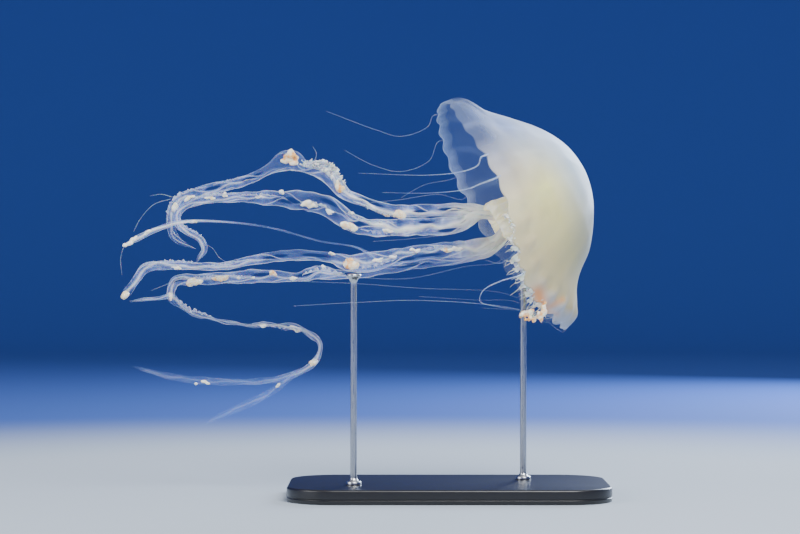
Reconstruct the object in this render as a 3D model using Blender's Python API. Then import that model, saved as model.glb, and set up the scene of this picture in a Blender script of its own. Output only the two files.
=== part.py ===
"""A sea nettle jellyfish at life size, swimming with its mouth arms trailing, on a display stand.

All sizes below are in millimetres, x to the right, y away from the front, z up from the floor.
The bell is a turned shell with a lappeted margin, the four mouth arms and the tentacles are swept
along smooth routes and parted into lengths by thin cuts, and everything is moved at the end so that
the origin is under the middle of the whole, at the underside of the base.
"""

import math

import bmesh
import bpy
import numpy as np
from mathutils import Vector

MM = 0.001
CUT = 0.3  # clearance between neighbours, and the width of each parting cut

# ---- the bell: a turned shell whose axis leans up and a little away from the front
BELL_CENTRE = Vector((33.5, 0.0, 154.5))  # middle of the circle that the margin lies on
BELL_RISE = math.radians(29.8)
BELL_TURN = math.radians(10.5)
BELL_OUTER = ((0, 49.5), (14, 48.2), (30, 40), (44, 28.3), (57, 16.8), (64, 13), (69.2, 8), (71.4, 0))
BELL_INNER = ((13, 31), (22, 36.4), (33, 30.5), (45, 20.8), (56, 14.3), (63, 10.8), (68, 7), (70.2, 0))
BELL_SIDES = 64
OUTER_RINGS = 9
INNER_RINGS = 7
LAPPETS = 32
LAPPET_LENGTH = 3.2
LAPPET_LOSS = 0.6  # share of that length which the lappets at the top of the margin lack
FLARE_STARTS = 42.0  # radius beyond which the rim can hang down
SAG = 21.0  # how far the front lower rim hangs below the margin's plane
SAG_MIDDLE = math.radians(122.0)
SAG_HALF_WIDTH = math.radians(76.0)
SAG_CURL = 7.0  # how far that rim curls in
LIP = 7.0  # how far the front upper rim hangs in the same way
LIP_MIDDLE = math.radians(50.0)
LIP_HALF_WIDTH = math.radians(45.0)
PINCH = 3.2  # the bell is a little narrower above its lower rim
PINCH_RADIUS = 53.0
PINCH_WIDTH = 8.5
APEX_LEAN = 3.6

# ---- the mouth: a four-cornered stalk that hangs from a boss inside the bell
STALK = ((30.7, 12.5), (22, 9.5), (10, 9.0), (0, 11.0), (-5, 12.5), (-8, 9.5))  # height, radius
STALK_SIDES = 16
STALK_CORNERS = 0.18

# ---- the mouth arms: x, y, z and half the width of each frilled ribbon
ARM_1 = (
    (31, 3, 156, 3), (14, 8, 158, 3.8), (-6, 10, 158, 3.6), (-30, 11, 158, 3.4), (-45, 11, 163, 2.8),
    (-55, 10, 167, 3.4), (-67, 8, 179.5, 5), (-77, 6, 182, 3.6), (-86, 5, 185.5, 6.2), (-96, 4, 181, 3.2),
    (-109, 3, 174.5, 2.8), (-137, 3, 167, 3.4), (-148, 2, 161.5, 3.2), (-151, 3, 149, 2.5),
    (-148, 8, 141.5, 2), (-138.5, 13, 136.5, 0.7),
)
ARM_2 = (
    (30, -4, 154, 2.6), (19, -6, 155, 2.6), (8, -6, 150, 4.6), (-19, -6, 148.5, 5), (-44, -4, 148.5, 4.8),
    (-54, -4, 152.5, 5.4), (-64, -7, 159.5, 5.6), (-73, -11, 162, 5.8), (-88, -13, 163.5, 4.8),
    (-113, -12, 164.5, 2.8), (-137, -8, 162, 2.2), (-146, -6, 157, 2.2), (-146, -5, 149.5, 2),
    (-134, -5, 141.5, 1.9), (-132, -5, 136, 1.7), (-135, -5, 131.6, 1.3),
)
ARM_3 = (
    (34, -5, 148, 3), (27, -6, 140, 4), (17, -8, 137.2, 4.8), (-8, -13, 135, 4.3), (-27, -16, 132, 4.6),
    (-41, -16, 129.2, 5.4), (-52, -15, 128.5, 4.8), (-62, -12, 131.5, 2.9), (-84, -6, 133, 3.1),
    (-107, -1, 130, 2.6), (-122, -1, 127, 2.2), (-152, -4, 127.4, 2.5), (-164, -6, 126, 2.7),
    (-168.5, -7, 120.5, 2.4), (-172, -8, 115.5, 2.3), (-174.5, -8, 112, 3), (-176.8, -8, 109, 1.8),
)
ARM_4 = (
    (35, 3, 147, 3), (27, 6, 136.5, 2.8), (14, 7, 131.5, 2.2), (-19, 10, 127.5, 2.7), (-47, 10, 123, 2.8),
    (-60, 9, 122.3, 2.8), (-69, 9, 123.5, 4.2), (-82, 9, 121, 2.6), (-100, 9, 121.5, 4), (-120, 8, 120.5, 3.4),
    (-138, 7, 119.5, 3.2), (-149, 6, 118.5, 3), (-151, 8, 110, 2.8), (-141.5, 13, 102, 2.4),
    (-113, 21, 94.3, 1.5), (-96, 25, 94, 2.6), (-79, 30, 91, 2.6), (-70, 33, 83, 1.8), (-72, 35, 74, 1.8),
    (-88, 37, 64.5, 2.2), (-115, 39, 61.5, 1.8), (-134, 40, 62, 2.3), (-152, 40, 64, 2), (-176, 37, 70.3, 0.7),
)
# Side strands, each rooted in an arm: a long filament, the fork of the trailing end, and a short link.
FILAMENT = (
    (-38, -16, 131.5, 1.4), (-48, -18, 137, 0.8), (-68, -24, 140.5, 0.8), (-96, -24, 148, 0.9),
    (-129, -18, 151.5, 1), (-146, -17, 150.5, 1.4), (-159, -19, 146, 2), (-168, -21, 141.5, 2), (-174, -24, 138, 1.2),
)
FORK = ((-84, 36.5, 66.5, 1.6), (-96, 38, 57, 1.9), (-110, 38, 49.5, 2.2), (-128, 38, 41.5, 1.4), (-136, 38, 37, 0.7))
LINK = ((-151, 8, 111, 1.6), (-157, 3, 109.4, 1), (-166, -4, 108.6, 0.8), (-172.5, -7.5, 107.6, 0.8))
ARM_STEP = 4.2
ARM_ROOT_RINGS = 4
STRAND_ROOT_RINGS = 3
EDGE = 0.4  # half the thickness of a ribbon's edge
SLIM_EDGE = 0.6  # the same as a share of the half width, where the ribbon is very narrow
MIDDLE = 0.7  # half the thickness of the middle: this, and a share of the half width
MIDDLE_SHARE = 0.34
RUFFLE = 0.3  # sideways swing of the frill as a share of the ribbon's half width
RUFFLE_LENGTH = 17.0
RUFFLE_LAG = 2.0  # radians by which one edge's ruffle lags behind the other's
CURVE_SAMPLES = 24  # between each two points of a route

# ---- the tentacles: which cleft of the margin each grows from, then the points that it drifts through
TENTACLES = {
    30: ((-9, 19, 205), (-24, 22, 199.5), (-38, 26, 203.3), (-66, 30, 214)),
    28: ((-8, 44, 187), (-24, 42, 180.6), (-40, 41, 184.2), (-56, 40, 192.5)),
    26: ((-11, 53, 173.3), (-24, 47, 166)),
    25: ((-3, 56, 168), (-25, 50, 164.8), (-42, 44, 163)),
    24: ((10, 60, 147), (-15, 52, 143), (-40, 44, 141)),
    22: ((14, 58, 127), (-20, 50, 120), (-58, 40, 121)),
    20: ((30, 48, 112.5), (-14, 42, 114.5), (-47, 36, 117), (-82, 30, 118.5)),
    18: ((40, 27, 107), (18, 24, 108), (-14, 22, 110)),
    16: ((50, 5, 101), (36, 2, 103), (20, 0, 104)),
    13: ((33, -42, 105), (-14, -36, 108.6), (-47, -32, 107.5), (-82, -30, 105.5)),
    10: ((28, -61, 119), (19, -60, 114), (17.5, -58, 108.5), (27, -55, 105.5), (39, -53, 104)),
    9: ((28, -63, 128.5), (20, -62, 130.2)),
    6: ((17.3, -63, 170.1), (11.1, -60, 167.6), (-8.9, -55, 165.6), (-34, -50, 166)),
    5: ((16.4, -61, 180.2), (9.1, -58, 177.1), (-8.9, -52, 175.2), (-47, -42, 176.6)),
}
RIM_GAP = 0.4  # clear space between the rim and what hangs from it
# Short curled frills that hang from the front margin, by the same count of clefts.
FRILL_CLEFTS = (7.5, 8.5, 9.5, 10.5, 11.3)
FRILL_LENGTH = 5.0
FRILL_CURL = 2.4
FRILL_WIDTH = 2.1  # half the width at its widest
FRILL_NARROW = 0.25  # share of that width at its two ends
FRILL_TURN = math.radians(125.0)
FRILL_POINTS = 5
FRILL_STEP = 2.0
# A tuft of drawn-up frill that hangs from the front lower rim.
TUFT_CLEFT = 12
TUFT_LEAD = 3.0  # how far it leaves the rim before it turns
TUFT_NECK = (0.5, 0.6)  # half its width at the rim and at the turn
TUFT = ((51.5, -44, 102, 2), (47.5, -46, 100.5, 3.6), (43, -47, 100.5, 3.4), (39.5, -47, 102, 1.4))
TENTACLE_BASE = 0.55
TENTACLE_TIP = 0.4
TENTACLE_STEP = 6.5
TENTACLE_LEAD = 4.0
LONGEST_WHOLE_TENTACLE = 75.0

# ---- the stand: a flat base and two upright rods
BASE_CENTRE = (2.0, 2.0)
BASE_SIZE = (176.0, 104.0, 8.0)
BASE_CORNER = 26.0
BASE_CHAMFER = 1.2
ROD_RADIUS = 1.8
BELL_ROD = (44.0, 19.5)
BELL_ROD_TOP = 192.6
ARM_ROD = (-50.0, -15.0)
ARM_ROD_TOP = 122.9
PAD_RADIUS = 4.2
BALL_RADIUS = 3.2
BALL_BANDS = 5
BALL_CROWN = 0.25  # radians from the pole to the flat on top of the ball
ROD_SIDES = 12

JELLY = (0.78, 0.79, 0.70, 1)
MOUTH = (0.80, 0.74, 0.58, 1)
FRILL = (0.82, 0.84, 0.86, 1)
THREAD = (0.75, 0.82, 0.90, 1)
BLACK = (0.03, 0.03, 0.035, 1)
STEEL = (0.62, 0.63, 0.65, 1)


def material(name, colour, roughness, metallic=0.0):
    made = bpy.data.materials.new(name)
    made.use_nodes = True
    shader = made.node_tree.nodes["Principled BSDF"]
    shader.inputs["Base Color"].default_value = colour
    shader.inputs["Roughness"].default_value = roughness
    shader.inputs["Metallic"].default_value = metallic
    return made


def finish(name, made, look, smooth=40.0):
    """Turn a bmesh in millimetres into a named, smooth-shaded object in metres."""
    bmesh.ops.recalc_face_normals(made, faces=made.faces)
    bmesh.ops.scale(made, vec=(MM, MM, MM), verts=made.verts)
    mesh = bpy.data.meshes.new(name)
    made.to_mesh(mesh)
    made.free()
    mesh.materials.append(look)
    mesh.shade_smooth()
    mesh.set_sharp_from_angle(angle=math.radians(smooth))
    obj = bpy.data.objects.new(name, mesh)
    bpy.context.scene.collection.objects.link(obj)
    return obj


def smooth_step(low, high, value):
    share = min(1.0, max(0.0, (value - low) / (high - low)))
    return share * share * (3 - 2 * share)


def stations(rows, step):
    """Evenly spaced rows along the centripetal Catmull-Rom curve through the given rows."""
    given = np.array(rows, float)
    row = np.vstack([2 * given[0] - given[1], given, 2 * given[-1] - given[-2]])
    gap = np.sqrt(np.linalg.norm(np.diff(row[:, :3], axis=0), axis=1))
    knot = np.concatenate([[0], np.cumsum(gap)])
    dense = []
    for i in range(1, len(row) - 2):
        p, k = row[i - 1 : i + 3], knot[i - 1 : i + 3]
        for t in np.linspace(k[1], k[2], CURVE_SAMPLES, endpoint=False):
            a = [((k[j + 1] - t) * p[j] + (t - k[j]) * p[j + 1]) / (k[j + 1] - k[j]) for j in range(3)]
            b = [((k[j + 2] - t) * a[j] + (t - k[j]) * a[j + 1]) / (k[j + 2] - k[j]) for j in range(2)]
            dense.append(((k[2] - t) * b[0] + (t - k[1]) * b[1]) / (k[2] - k[1]))
    dense.append(row[-2])
    dense = np.array(dense)
    run = np.concatenate([[0], np.cumsum(np.linalg.norm(np.diff(dense[:, :3], axis=0), axis=1))])
    even = np.linspace(0, run[-1], max(2, round(run[-1] / step) + 1))
    return np.column_stack([np.interp(even, run, column) for column in dense.T]), even


def carried_frames(path, first_side):
    """Tangents, and a side direction carried along the path without twisting."""
    tangents = np.gradient(path, axis=0)
    tangents /= np.linalg.norm(tangents, axis=1)[:, None]
    side = np.array(first_side, float)
    sides = []
    for tangent in tangents:
        side = side - tangent * side.dot(tangent)
        side /= np.linalg.norm(side)
        sides.append(side)
    return tangents, np.array(sides)


def ribbon_rings(rows, phase=0.0, step=ARM_STEP):
    """Six-cornered sections of a frilled ribbon: blunt thin edges and a thicker middle."""
    at, run = stations(rows, step)
    tangents, sides = carried_frames(at[:, :3], (0, 0, 1))
    flats = np.cross(tangents, sides)
    rings = []
    for centre, width, distance, side, flat in zip(at[:, :3], at[:, 3], run, sides, flats):
        middle = MIDDLE + MIDDLE_SHARE * width
        edge = min(EDGE, SLIM_EDGE * width)
        swing = RUFFLE * width
        turn = 2 * math.pi * distance / RUFFLE_LENGTH + phase
        upper = centre + width * side + swing * math.sin(turn) * flat
        lower = centre - width * side + swing * math.sin(turn + RUFFLE_LAG) * flat
        rings.append([
            upper - edge * flat, upper + edge * flat, centre + middle * flat,
            lower + edge * flat, lower - edge * flat, centre - middle * flat,
        ])
    return np.array(rings), tangents


def round_rings(rows, step, sides=4, first_side=(0, 0, 1)):
    """Round sections, each row being x, y, z and a radius."""
    at, _ = stations(rows, step)
    tangents, upright = carried_frames(at[:, :3], first_side)
    across = np.cross(tangents, upright)
    angles = 2 * math.pi * np.arange(sides) / sides
    rings = [
        [centre + radius * (math.cos(a) * u + math.sin(a) * v) for a in angles]
        for centre, radius, u, v in zip(at[:, :3], at[:, 3], upright, across)
    ]
    return np.array(rings), tangents


def swept(rings):
    """A closed body through the rings, with a flat cap at each end."""
    made = bmesh.new()
    loops = [[made.verts.new(corner) for corner in ring] for ring in rings]
    count = len(loops[0])
    for before, after in zip(loops, loops[1:]):
        for i in range(count):
            made.faces.new((before[i], before[i - 1], after[i - 1], after[i]))
    made.faces.new(loops[0])
    made.faces.new(reversed(loops[-1]))
    return made


def lengths(rings, tangents, count):
    """The rings parted into this many lengths, each beginning one cut beyond the end of the last."""
    edges = [round(i * (len(rings) - 1) / count) for i in range(count + 1)]
    for number, (first, last) in enumerate(zip(edges, edges[1:]), 1):
        part = rings[first : last + 1].copy()
        if first:
            part[0] += CUT * tangents[first]
        yield number, part


def bump(angle, middle, half_width):
    """A smooth rise from 0 to 1 and back, about the middle angle."""
    off_middle = (angle - middle) / half_width
    return math.cos(math.pi / 2 * off_middle) ** 2 if abs(off_middle) < 1 else 0.0


def bell_point(radius, height, angle):
    """A point of the bell: the angle runs from the top of the margin towards the front."""
    sag = bump(angle, SAG_MIDDLE, SAG_HALF_WIDTH)
    lip = bump(angle, LIP_MIDDLE, LIP_HALF_WIDTH)
    flare = smooth_step(FLARE_STARTS, BELL_OUTER[-1][0], radius)
    rim = smooth_step(63, BELL_OUTER[-1][0], radius)
    cleft = 0.5 - 0.5 * math.cos(LAPPETS * angle)
    waist = math.exp(-(((radius - PINCH_RADIUS) / PINCH_WIDTH) ** 2)) * max(0.0, -math.cos(angle))
    lappet = LAPPET_LENGTH * (1 - LAPPET_LOSS * max(0.0, math.cos(angle)))
    height += lappet * rim * cleft - (SAG * sag + LIP * lip) * flare
    radius -= SAG_CURL * sag * flare * flare + PINCH * waist
    axis = Vector((math.cos(BELL_TURN) * math.cos(BELL_RISE), math.sin(BELL_TURN),
                   math.cos(BELL_TURN) * math.sin(BELL_RISE)))
    top = Vector((-math.sin(BELL_RISE), 0, math.cos(BELL_RISE)))
    front = axis.cross(top)
    lean = APEX_LEAN * max(0.0, height) / BELL_OUTER[0][1]
    across, forward = radius * math.cos(angle) + lean, radius * math.sin(angle)
    return BELL_CENTRE + float(height) * axis + float(across) * top + float(forward) * front


def build_bell(look):
    """Outer and inner surfaces joined round the margin; the inner one ends on the stalk's boss."""
    made = bmesh.new()
    outer, _ = stations([(r, 0, u) for r, u in BELL_OUTER], 1.0)
    inner, _ = stations([(r, 0, u) for r, u in BELL_INNER], 1.0)
    outer = outer[np.linspace(0, len(outer) - 1, OUTER_RINGS + 1).round().astype(int)][1:]
    inner = inner[np.linspace(0, len(inner) - 1, INNER_RINGS + 1).round().astype(int)][::-1]
    angles = [2 * math.pi * i / BELL_SIDES for i in range(BELL_SIDES)]
    loops = [[made.verts.new(bell_point(r, u, a)) for a in angles] for r, _, u in (*outer, *inner)]
    for before, after in zip(loops, loops[1:]):
        for i in range(BELL_SIDES):
            made.faces.new((before[i], before[i - 1], after[i - 1], after[i]))
    apex = made.verts.new(bell_point(0, BELL_OUTER[0][1], 0))
    boss = made.verts.new(bell_point(0, BELL_INNER[0][1], 0))
    for i in range(BELL_SIDES):
        made.faces.new((apex, loops[0][i - 1], loops[0][i]))
        made.faces.new((boss, loops[-1][i], loops[-1][i - 1]))
    return finish("bell", made, look)


def build_mouth(look, roots):
    """The stalk, joined with the root of each arm."""
    rings = []
    for height, radius in STALK:
        ring = []
        for i in range(STALK_SIDES):
            angle = 2 * math.pi * i / STALK_SIDES
            corner = 1 + STALK_CORNERS * math.cos(4 * (angle - math.pi / 4))
            ring.append(bell_point(radius * corner, height, angle))
        rings.append(ring)
    stalk = finish("manubrium", swept(rings), look)
    for number, rings in enumerate(roots, 1):
        join(stalk, swept(rings), f"arm_root_{number}", look)
    return stalk


def join(obj, made, name, look):
    """Boolean union of a further body into an object; the body itself stays as a hidden guide."""
    guide = finish(name, made, look)
    guide.hide_render = True
    guide.display_type = "WIRE"
    union = obj.modifiers.new(name, "BOOLEAN")
    union.operation = "UNION"
    union.object = guide


def leaving_rim(cleft, reach):
    """Two points that lead off the middle of the rim at a cleft, just clear of it."""
    angle = 2 * math.pi * (cleft + 0.5) / LAPPETS
    rim = (bell_point(*BELL_OUTER[-1], angle) + bell_point(*BELL_INNER[-1], angle)) / 2
    on_wall = (bell_point(*BELL_OUTER[-2], angle) + bell_point(*BELL_INNER[-2], angle)) / 2
    leave = (rim - on_wall).normalized()
    return [tuple(rim + leave * RIM_GAP), tuple(rim + leave * reach)]


def build_tuft(look):
    start, lead = leaving_rim(TUFT_CLEFT, TUFT_LEAD)
    rings, _ = ribbon_rings([(*start, TUFT_NECK[0]), (*lead, TUFT_NECK[1]), *TUFT])
    return finish("margin_tuft", swept(rings), look)


def build_frill(number, cleft, look):
    """A small ribbon that hangs from the margin and curls in under the bell."""
    start, lead = (Vector(point) for point in leaving_rim(cleft, 2 * RIM_GAP))
    leave = (lead - start).normalized()
    inward = (BELL_CENTRE - start).normalized()
    rows = []
    for i in range(FRILL_POINTS):
        share = i / (FRILL_POINTS - 1)
        turn = FRILL_TURN * share
        place = start + FRILL_LENGTH * math.sin(turn) * leave + FRILL_CURL * (1 - math.cos(turn)) * inward
        rows.append((*place, FRILL_WIDTH * (FRILL_NARROW + (1 - FRILL_NARROW) * math.sin(math.pi * share))))
    rings, _ = ribbon_rings(rows, step=FRILL_STEP)
    finish(f"margin_frill_{number}", swept(rings), look)


def build_tentacle(number, cleft, points, look):
    route = [*leaving_rim(cleft, TENTACLE_LEAD), *points]
    thickness = np.linspace(TENTACLE_BASE, TENTACLE_TIP, len(route))
    rings, tangents = round_rings([(*p, t) for p, t in zip(route, thickness)], TENTACLE_STEP)
    reach = TENTACLE_STEP * (len(rings) - 1)
    count = 2 if reach > LONGEST_WHOLE_TENTACLE else 1
    for part_number, part in lengths(rings, tangents, count):
        suffix = f"_length_{part_number}" if count > 1 else ""
        finish(f"tentacle_{number:02d}{suffix}", swept(part), look)


def build_strand(name, rows, host, count, look):
    """A side strand: its first stretch is joined to the arm that it grows from, the rest is parted off."""
    rings, tangents = ribbon_rings(rows)
    join(host, swept(rings[: STRAND_ROOT_RINGS + 1]), f"{name}_root", look)
    beyond = rings[STRAND_ROOT_RINGS:].copy()
    beyond[0] += CUT * tangents[STRAND_ROOT_RINGS]
    for part_number, part in lengths(beyond, tangents[STRAND_ROOT_RINGS:], count):
        suffix = f"_length_{part_number}" if count > 1 else ""
        finish(name + suffix, swept(part), look)


def build_base(look):
    """A plate with rounded corners and a small chamfer round its top."""
    half_x, half_y = BASE_SIZE[0] / 2 - BASE_CORNER, BASE_SIZE[1] / 2 - BASE_CORNER
    rings = []
    for height, inset in ((0, 0), (BASE_SIZE[2] - BASE_CHAMFER, 0), (BASE_SIZE[2], BASE_CHAMFER)):
        ring = []
        for i in range(32):
            angle = math.radians(90 * (i // 8) + 90 * (i % 8) / 7)
            corner_x = math.copysign(half_x, math.cos(math.radians(90 * (i // 8) + 45)))
            corner_y = math.copysign(half_y, math.sin(math.radians(90 * (i // 8) + 45)))
            reach = BASE_CORNER - inset
            ring.append((BASE_CENTRE[0] + corner_x + reach * math.cos(angle),
                         BASE_CENTRE[1] + corner_y + reach * math.sin(angle), height))
        rings.append(ring)
    return finish("stand_base", swept(rings), look, smooth=25)


def build_rod(name, place, top, head, look):
    """An upright rod with a turned head, whose heights are measured down from the top."""
    foot = BASE_SIZE[2] + CUT
    profile = [(foot, ROD_RADIUS)] + [(top - down, radius) for down, radius in head]
    turns = [2 * math.pi * i / ROD_SIDES for i in range(ROD_SIDES)]
    rings = [
        [(place[0] + radius * math.cos(t), place[1] + radius * math.sin(t), height) for t in turns]
        for height, radius in profile
    ]
    return finish(name, swept(rings), look)


def pad_head():
    """A small plate on a flared neck."""
    return ((7, ROD_RADIUS), (3.5, 1.25 * ROD_RADIUS), (1.4, PAD_RADIUS), (0.5, PAD_RADIUS), (0, 0.72 * PAD_RADIUS))


def ball_head():
    """A ball from where it leaves the rod to its crown."""
    leaves = math.asin(ROD_RADIUS / BALL_RADIUS)
    sweep = math.pi - leaves - BALL_CROWN
    turns = [math.pi - leaves - i * sweep / BALL_BANDS for i in range(BALL_BANDS + 1)]
    return [(BALL_RADIUS * (1 - math.cos(t)), BALL_RADIUS * math.sin(t)) for t in turns]


def centre_over_floor():
    """Move everything so that the origin is under the middle of the box round the visible objects."""
    bpy.context.view_layer.update()
    corners = [obj.matrix_world @ vertex.co for obj in bpy.context.scene.objects
               if not obj.hide_render for vertex in obj.data.vertices]
    low = Vector(map(min, zip(*corners)))
    high = Vector(map(max, zip(*corners)))
    middle = (low + high) / 2
    for obj in bpy.context.scene.objects:
        obj.location -= Vector((middle.x, middle.y, low.z))


def main():
    for obj in list(bpy.data.objects):
        bpy.data.objects.remove(obj, do_unlink=True)
    jelly = material("bell_jelly", JELLY, 0.3)
    mouth = material("mouth_flesh", MOUTH, 0.4)
    frill = material("arm_frill", FRILL, 0.4)
    thread = material("tentacle_thread", THREAD, 0.4)
    black = material("stand_black", BLACK, 0.45)
    steel = material("stand_steel", STEEL, 0.3, metallic=1.0)

    build_bell(jelly)
    roots = []
    parts = {}
    for number, (rows, count) in enumerate(((ARM_1, 5), (ARM_2, 5), (ARM_3, 5), (ARM_4, 8)), 1):
        rings, tangents = ribbon_rings(rows, phase=1.3 * number)
        roots.append(rings[: ARM_ROOT_RINGS + 1])
        beyond = rings[ARM_ROOT_RINGS:].copy()
        beyond[0] += CUT * tangents[ARM_ROOT_RINGS]
        for part_number, part in lengths(beyond, tangents[ARM_ROOT_RINGS:], count):
            name = f"oral_arm_{number}_length_{part_number}"
            parts[name] = finish(name, swept(part), frill)
    build_mouth(mouth, roots)
    build_strand("oral_arm_3_filament", FILAMENT, parts["oral_arm_3_length_2"], 3, frill)
    build_strand("oral_arm_4_fork", FORK, parts["oral_arm_4_length_7"], 1, frill)
    build_strand("oral_arm_4_link", LINK, parts["oral_arm_4_length_4"], 1, frill)
    for number, (cleft, points) in enumerate(TENTACLES.items(), 1):
        build_tentacle(number, cleft, points, thread)
    for number, cleft in enumerate(FRILL_CLEFTS, 1):
        build_frill(number, cleft, mouth)
    build_tuft(mouth)
    build_base(black)
    build_rod("stand_rod_bell", BELL_ROD, BELL_ROD_TOP, ball_head(), steel)
    build_rod("stand_rod_arms", ARM_ROD, ARM_ROD_TOP, pad_head(), steel)
    centre_over_floor()


main()
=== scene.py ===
"""Looks of a life-size sea nettle jellyfish model on its display stand.

Shapes are written in millimetres in the model maker's own frame (x to the right, y away from
the front, z up from the floor) and moved onto the CAD frame as each mesh is made.
"""

import math

import bpy
import numpy as np
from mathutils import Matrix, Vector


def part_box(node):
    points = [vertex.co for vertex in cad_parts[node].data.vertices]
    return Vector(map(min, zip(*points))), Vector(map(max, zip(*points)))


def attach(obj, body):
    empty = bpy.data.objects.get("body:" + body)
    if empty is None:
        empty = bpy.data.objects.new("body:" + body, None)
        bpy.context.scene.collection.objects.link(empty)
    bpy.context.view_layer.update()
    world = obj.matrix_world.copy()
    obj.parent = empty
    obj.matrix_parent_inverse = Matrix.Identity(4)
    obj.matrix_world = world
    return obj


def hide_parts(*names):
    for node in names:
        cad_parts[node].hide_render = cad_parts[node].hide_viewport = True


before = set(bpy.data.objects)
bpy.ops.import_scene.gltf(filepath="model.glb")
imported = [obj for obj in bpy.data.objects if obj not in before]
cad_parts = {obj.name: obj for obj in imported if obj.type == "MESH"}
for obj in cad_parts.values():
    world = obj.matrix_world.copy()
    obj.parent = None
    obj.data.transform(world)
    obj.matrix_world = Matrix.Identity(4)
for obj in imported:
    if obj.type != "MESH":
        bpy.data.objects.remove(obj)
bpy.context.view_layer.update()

# ---- Stand base -----------------------------------------------------------------------------
# A plate of lime wood with rounded corners, routed, sanded and sprayed with satin black lacquer.
# It lies on the table and carries both rods.
MM = 0.001
BASE_CENTRE = (2.0, 2.0)
BASE_SIZE = (176.0, 104.0, 8.0)
BASE_CORNER = 26.0
CORNER_STEPS = 24
EDGE_ROUND = 1.2
# height above the table, and how far that line lies in from the outline
BASE_LINES = [
    (0.0, 0.7), (0.25, 0.3), (0.7, 0.05), (2.0, 0.0), (2.15, 0.35), (2.5, 0.5), (2.85, 0.35), (3.0, 0.0),
]
BASE_LINES += [
    (BASE_SIZE[2] - EDGE_ROUND * (1 - math.sin(a)), EDGE_ROUND * (1 - math.cos(a)))
    for a in np.linspace(0, math.pi / 2, 7)
]
base_low, base_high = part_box("stand_base")
base_foot = np.array([(base_low.x + base_high.x) / 2, (base_low.y + base_high.y) / 2, base_low.z])
PLACE = base_foot / MM - [*BASE_CENTRE, 0]


def linear(colour):
    """An sRGB hex colour as the linear RGBA that a socket takes."""
    shares = [int(colour[i : i + 2], 16) / 255 for i in (1, 3, 5)]
    return tuple(s / 12.92 if s <= 0.04045 else ((s + 0.055) / 1.055) ** 2.4 for s in shares) + (1.0,)


def add(tree, kind, inputs=(), out=0, stops=(), **settings):
    """Add a node and give one of its outputs. The inputs, in order or by socket, are numbers, hex
    colours or other nodes' outputs. Stops are the places and colours of a ramp: its ends, then the rest."""
    made = tree.nodes.new(kind)
    for key, value in settings.items():
        setattr(made, key, value)
    for socket, value in inputs.items() if isinstance(inputs, dict) else enumerate(inputs):
        if isinstance(value, bpy.types.NodeSocket):
            tree.links.new(value, made.inputs[socket])
        else:
            made.inputs[socket].default_value = linear(value) if str(value).startswith("#") else value
    for number, (spot, colour) in enumerate(stops):
        elements = made.color_ramp.elements
        element = elements[number] if number < 2 else elements.new(spot)
        element.position, element.color = spot, linear(colour)
    return made.outputs[out] if len(made.outputs) else made


def start_material(name, **values):
    """A new material with its tree, its shader with plain numbers on its sockets, and Object coordinates."""
    made = bpy.data.materials.new(name)
    made.use_nodes = True
    shader = made.node_tree.nodes["Principled BSDF"]
    for key, value in values.items():
        shader.inputs[key.replace("_", " ")].default_value = value
    return made, made.node_tree, shader, add(made.node_tree, "ShaderNodeTexCoord", out="Object")


def wire(shader, **sources):
    """Link what a tree has made to its shader's sockets."""
    for key, source in sources.items():
        shader.id_data.links.new(source, shader.inputs[key.replace("_", " ")])


def as_piece(name, points, faces, look, marks=(), edges=()):
    """A smooth mesh object from points in the maker's millimetres, with numbers or directions on the points."""
    mesh = bpy.data.meshes.new(name)
    mesh.from_pydata(((np.asarray(points, float) + PLACE) * MM).tolist(), list(edges), [list(f) for f in faces])
    for key, values in dict(marks).items():
        values = np.asarray(values, np.float32)
        kind, field = ("FLOAT_VECTOR", "vector") if values.shape[1:] == (3,) else ("FLOAT", "value")
        mesh.attributes.new(key, kind, "POINT").data.foreach_set(field, values.ravel())
    if look:
        mesh.materials.append(look)
    mesh.update()
    mesh.shade_smooth()
    piece = bpy.data.objects.new(name, mesh)
    bpy.context.scene.collection.objects.link(piece)
    return piece


def grid_faces(rows, columns, closed):
    """Quads over rows of points; closed joins each row's last point to its first."""
    index = np.arange(rows * columns).reshape(rows, columns)
    if closed:
        index = np.column_stack([index, index[:, 0]])
    return np.stack([index[:-1, :-1], index[1:, :-1], index[1:, 1:], index[:-1, 1:]], -1).reshape(-1, 4)


outline = np.concatenate([np.linspace(q * math.pi / 2, (q + 1) * math.pi / 2, CORNER_STEPS) for q in range(4)])
quarter = np.repeat(np.arange(4), CORNER_STEPS)
corner_x = np.where((quarter == 0) | (quarter == 3), 1, -1) * (BASE_SIZE[0] / 2 - BASE_CORNER)
corner_y = np.where(quarter < 2, 1, -1) * (BASE_SIZE[1] / 2 - BASE_CORNER)
base_points = np.concatenate([
    np.column_stack([
        BASE_CENTRE[0] + corner_x + (BASE_CORNER - inset) * np.cos(outline),
        BASE_CENTRE[1] + corner_y + (BASE_CORNER - inset) * np.sin(outline),
        np.full(len(outline), height),
    ])
    for height, inset in BASE_LINES
])
around = len(outline)
base_faces = [tuple(reversed(f)) for f in grid_faces(len(BASE_LINES), around, True)]
base_faces += [tuple(reversed(range(around))), tuple(range(len(base_points) - around, len(base_points)))]

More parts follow.
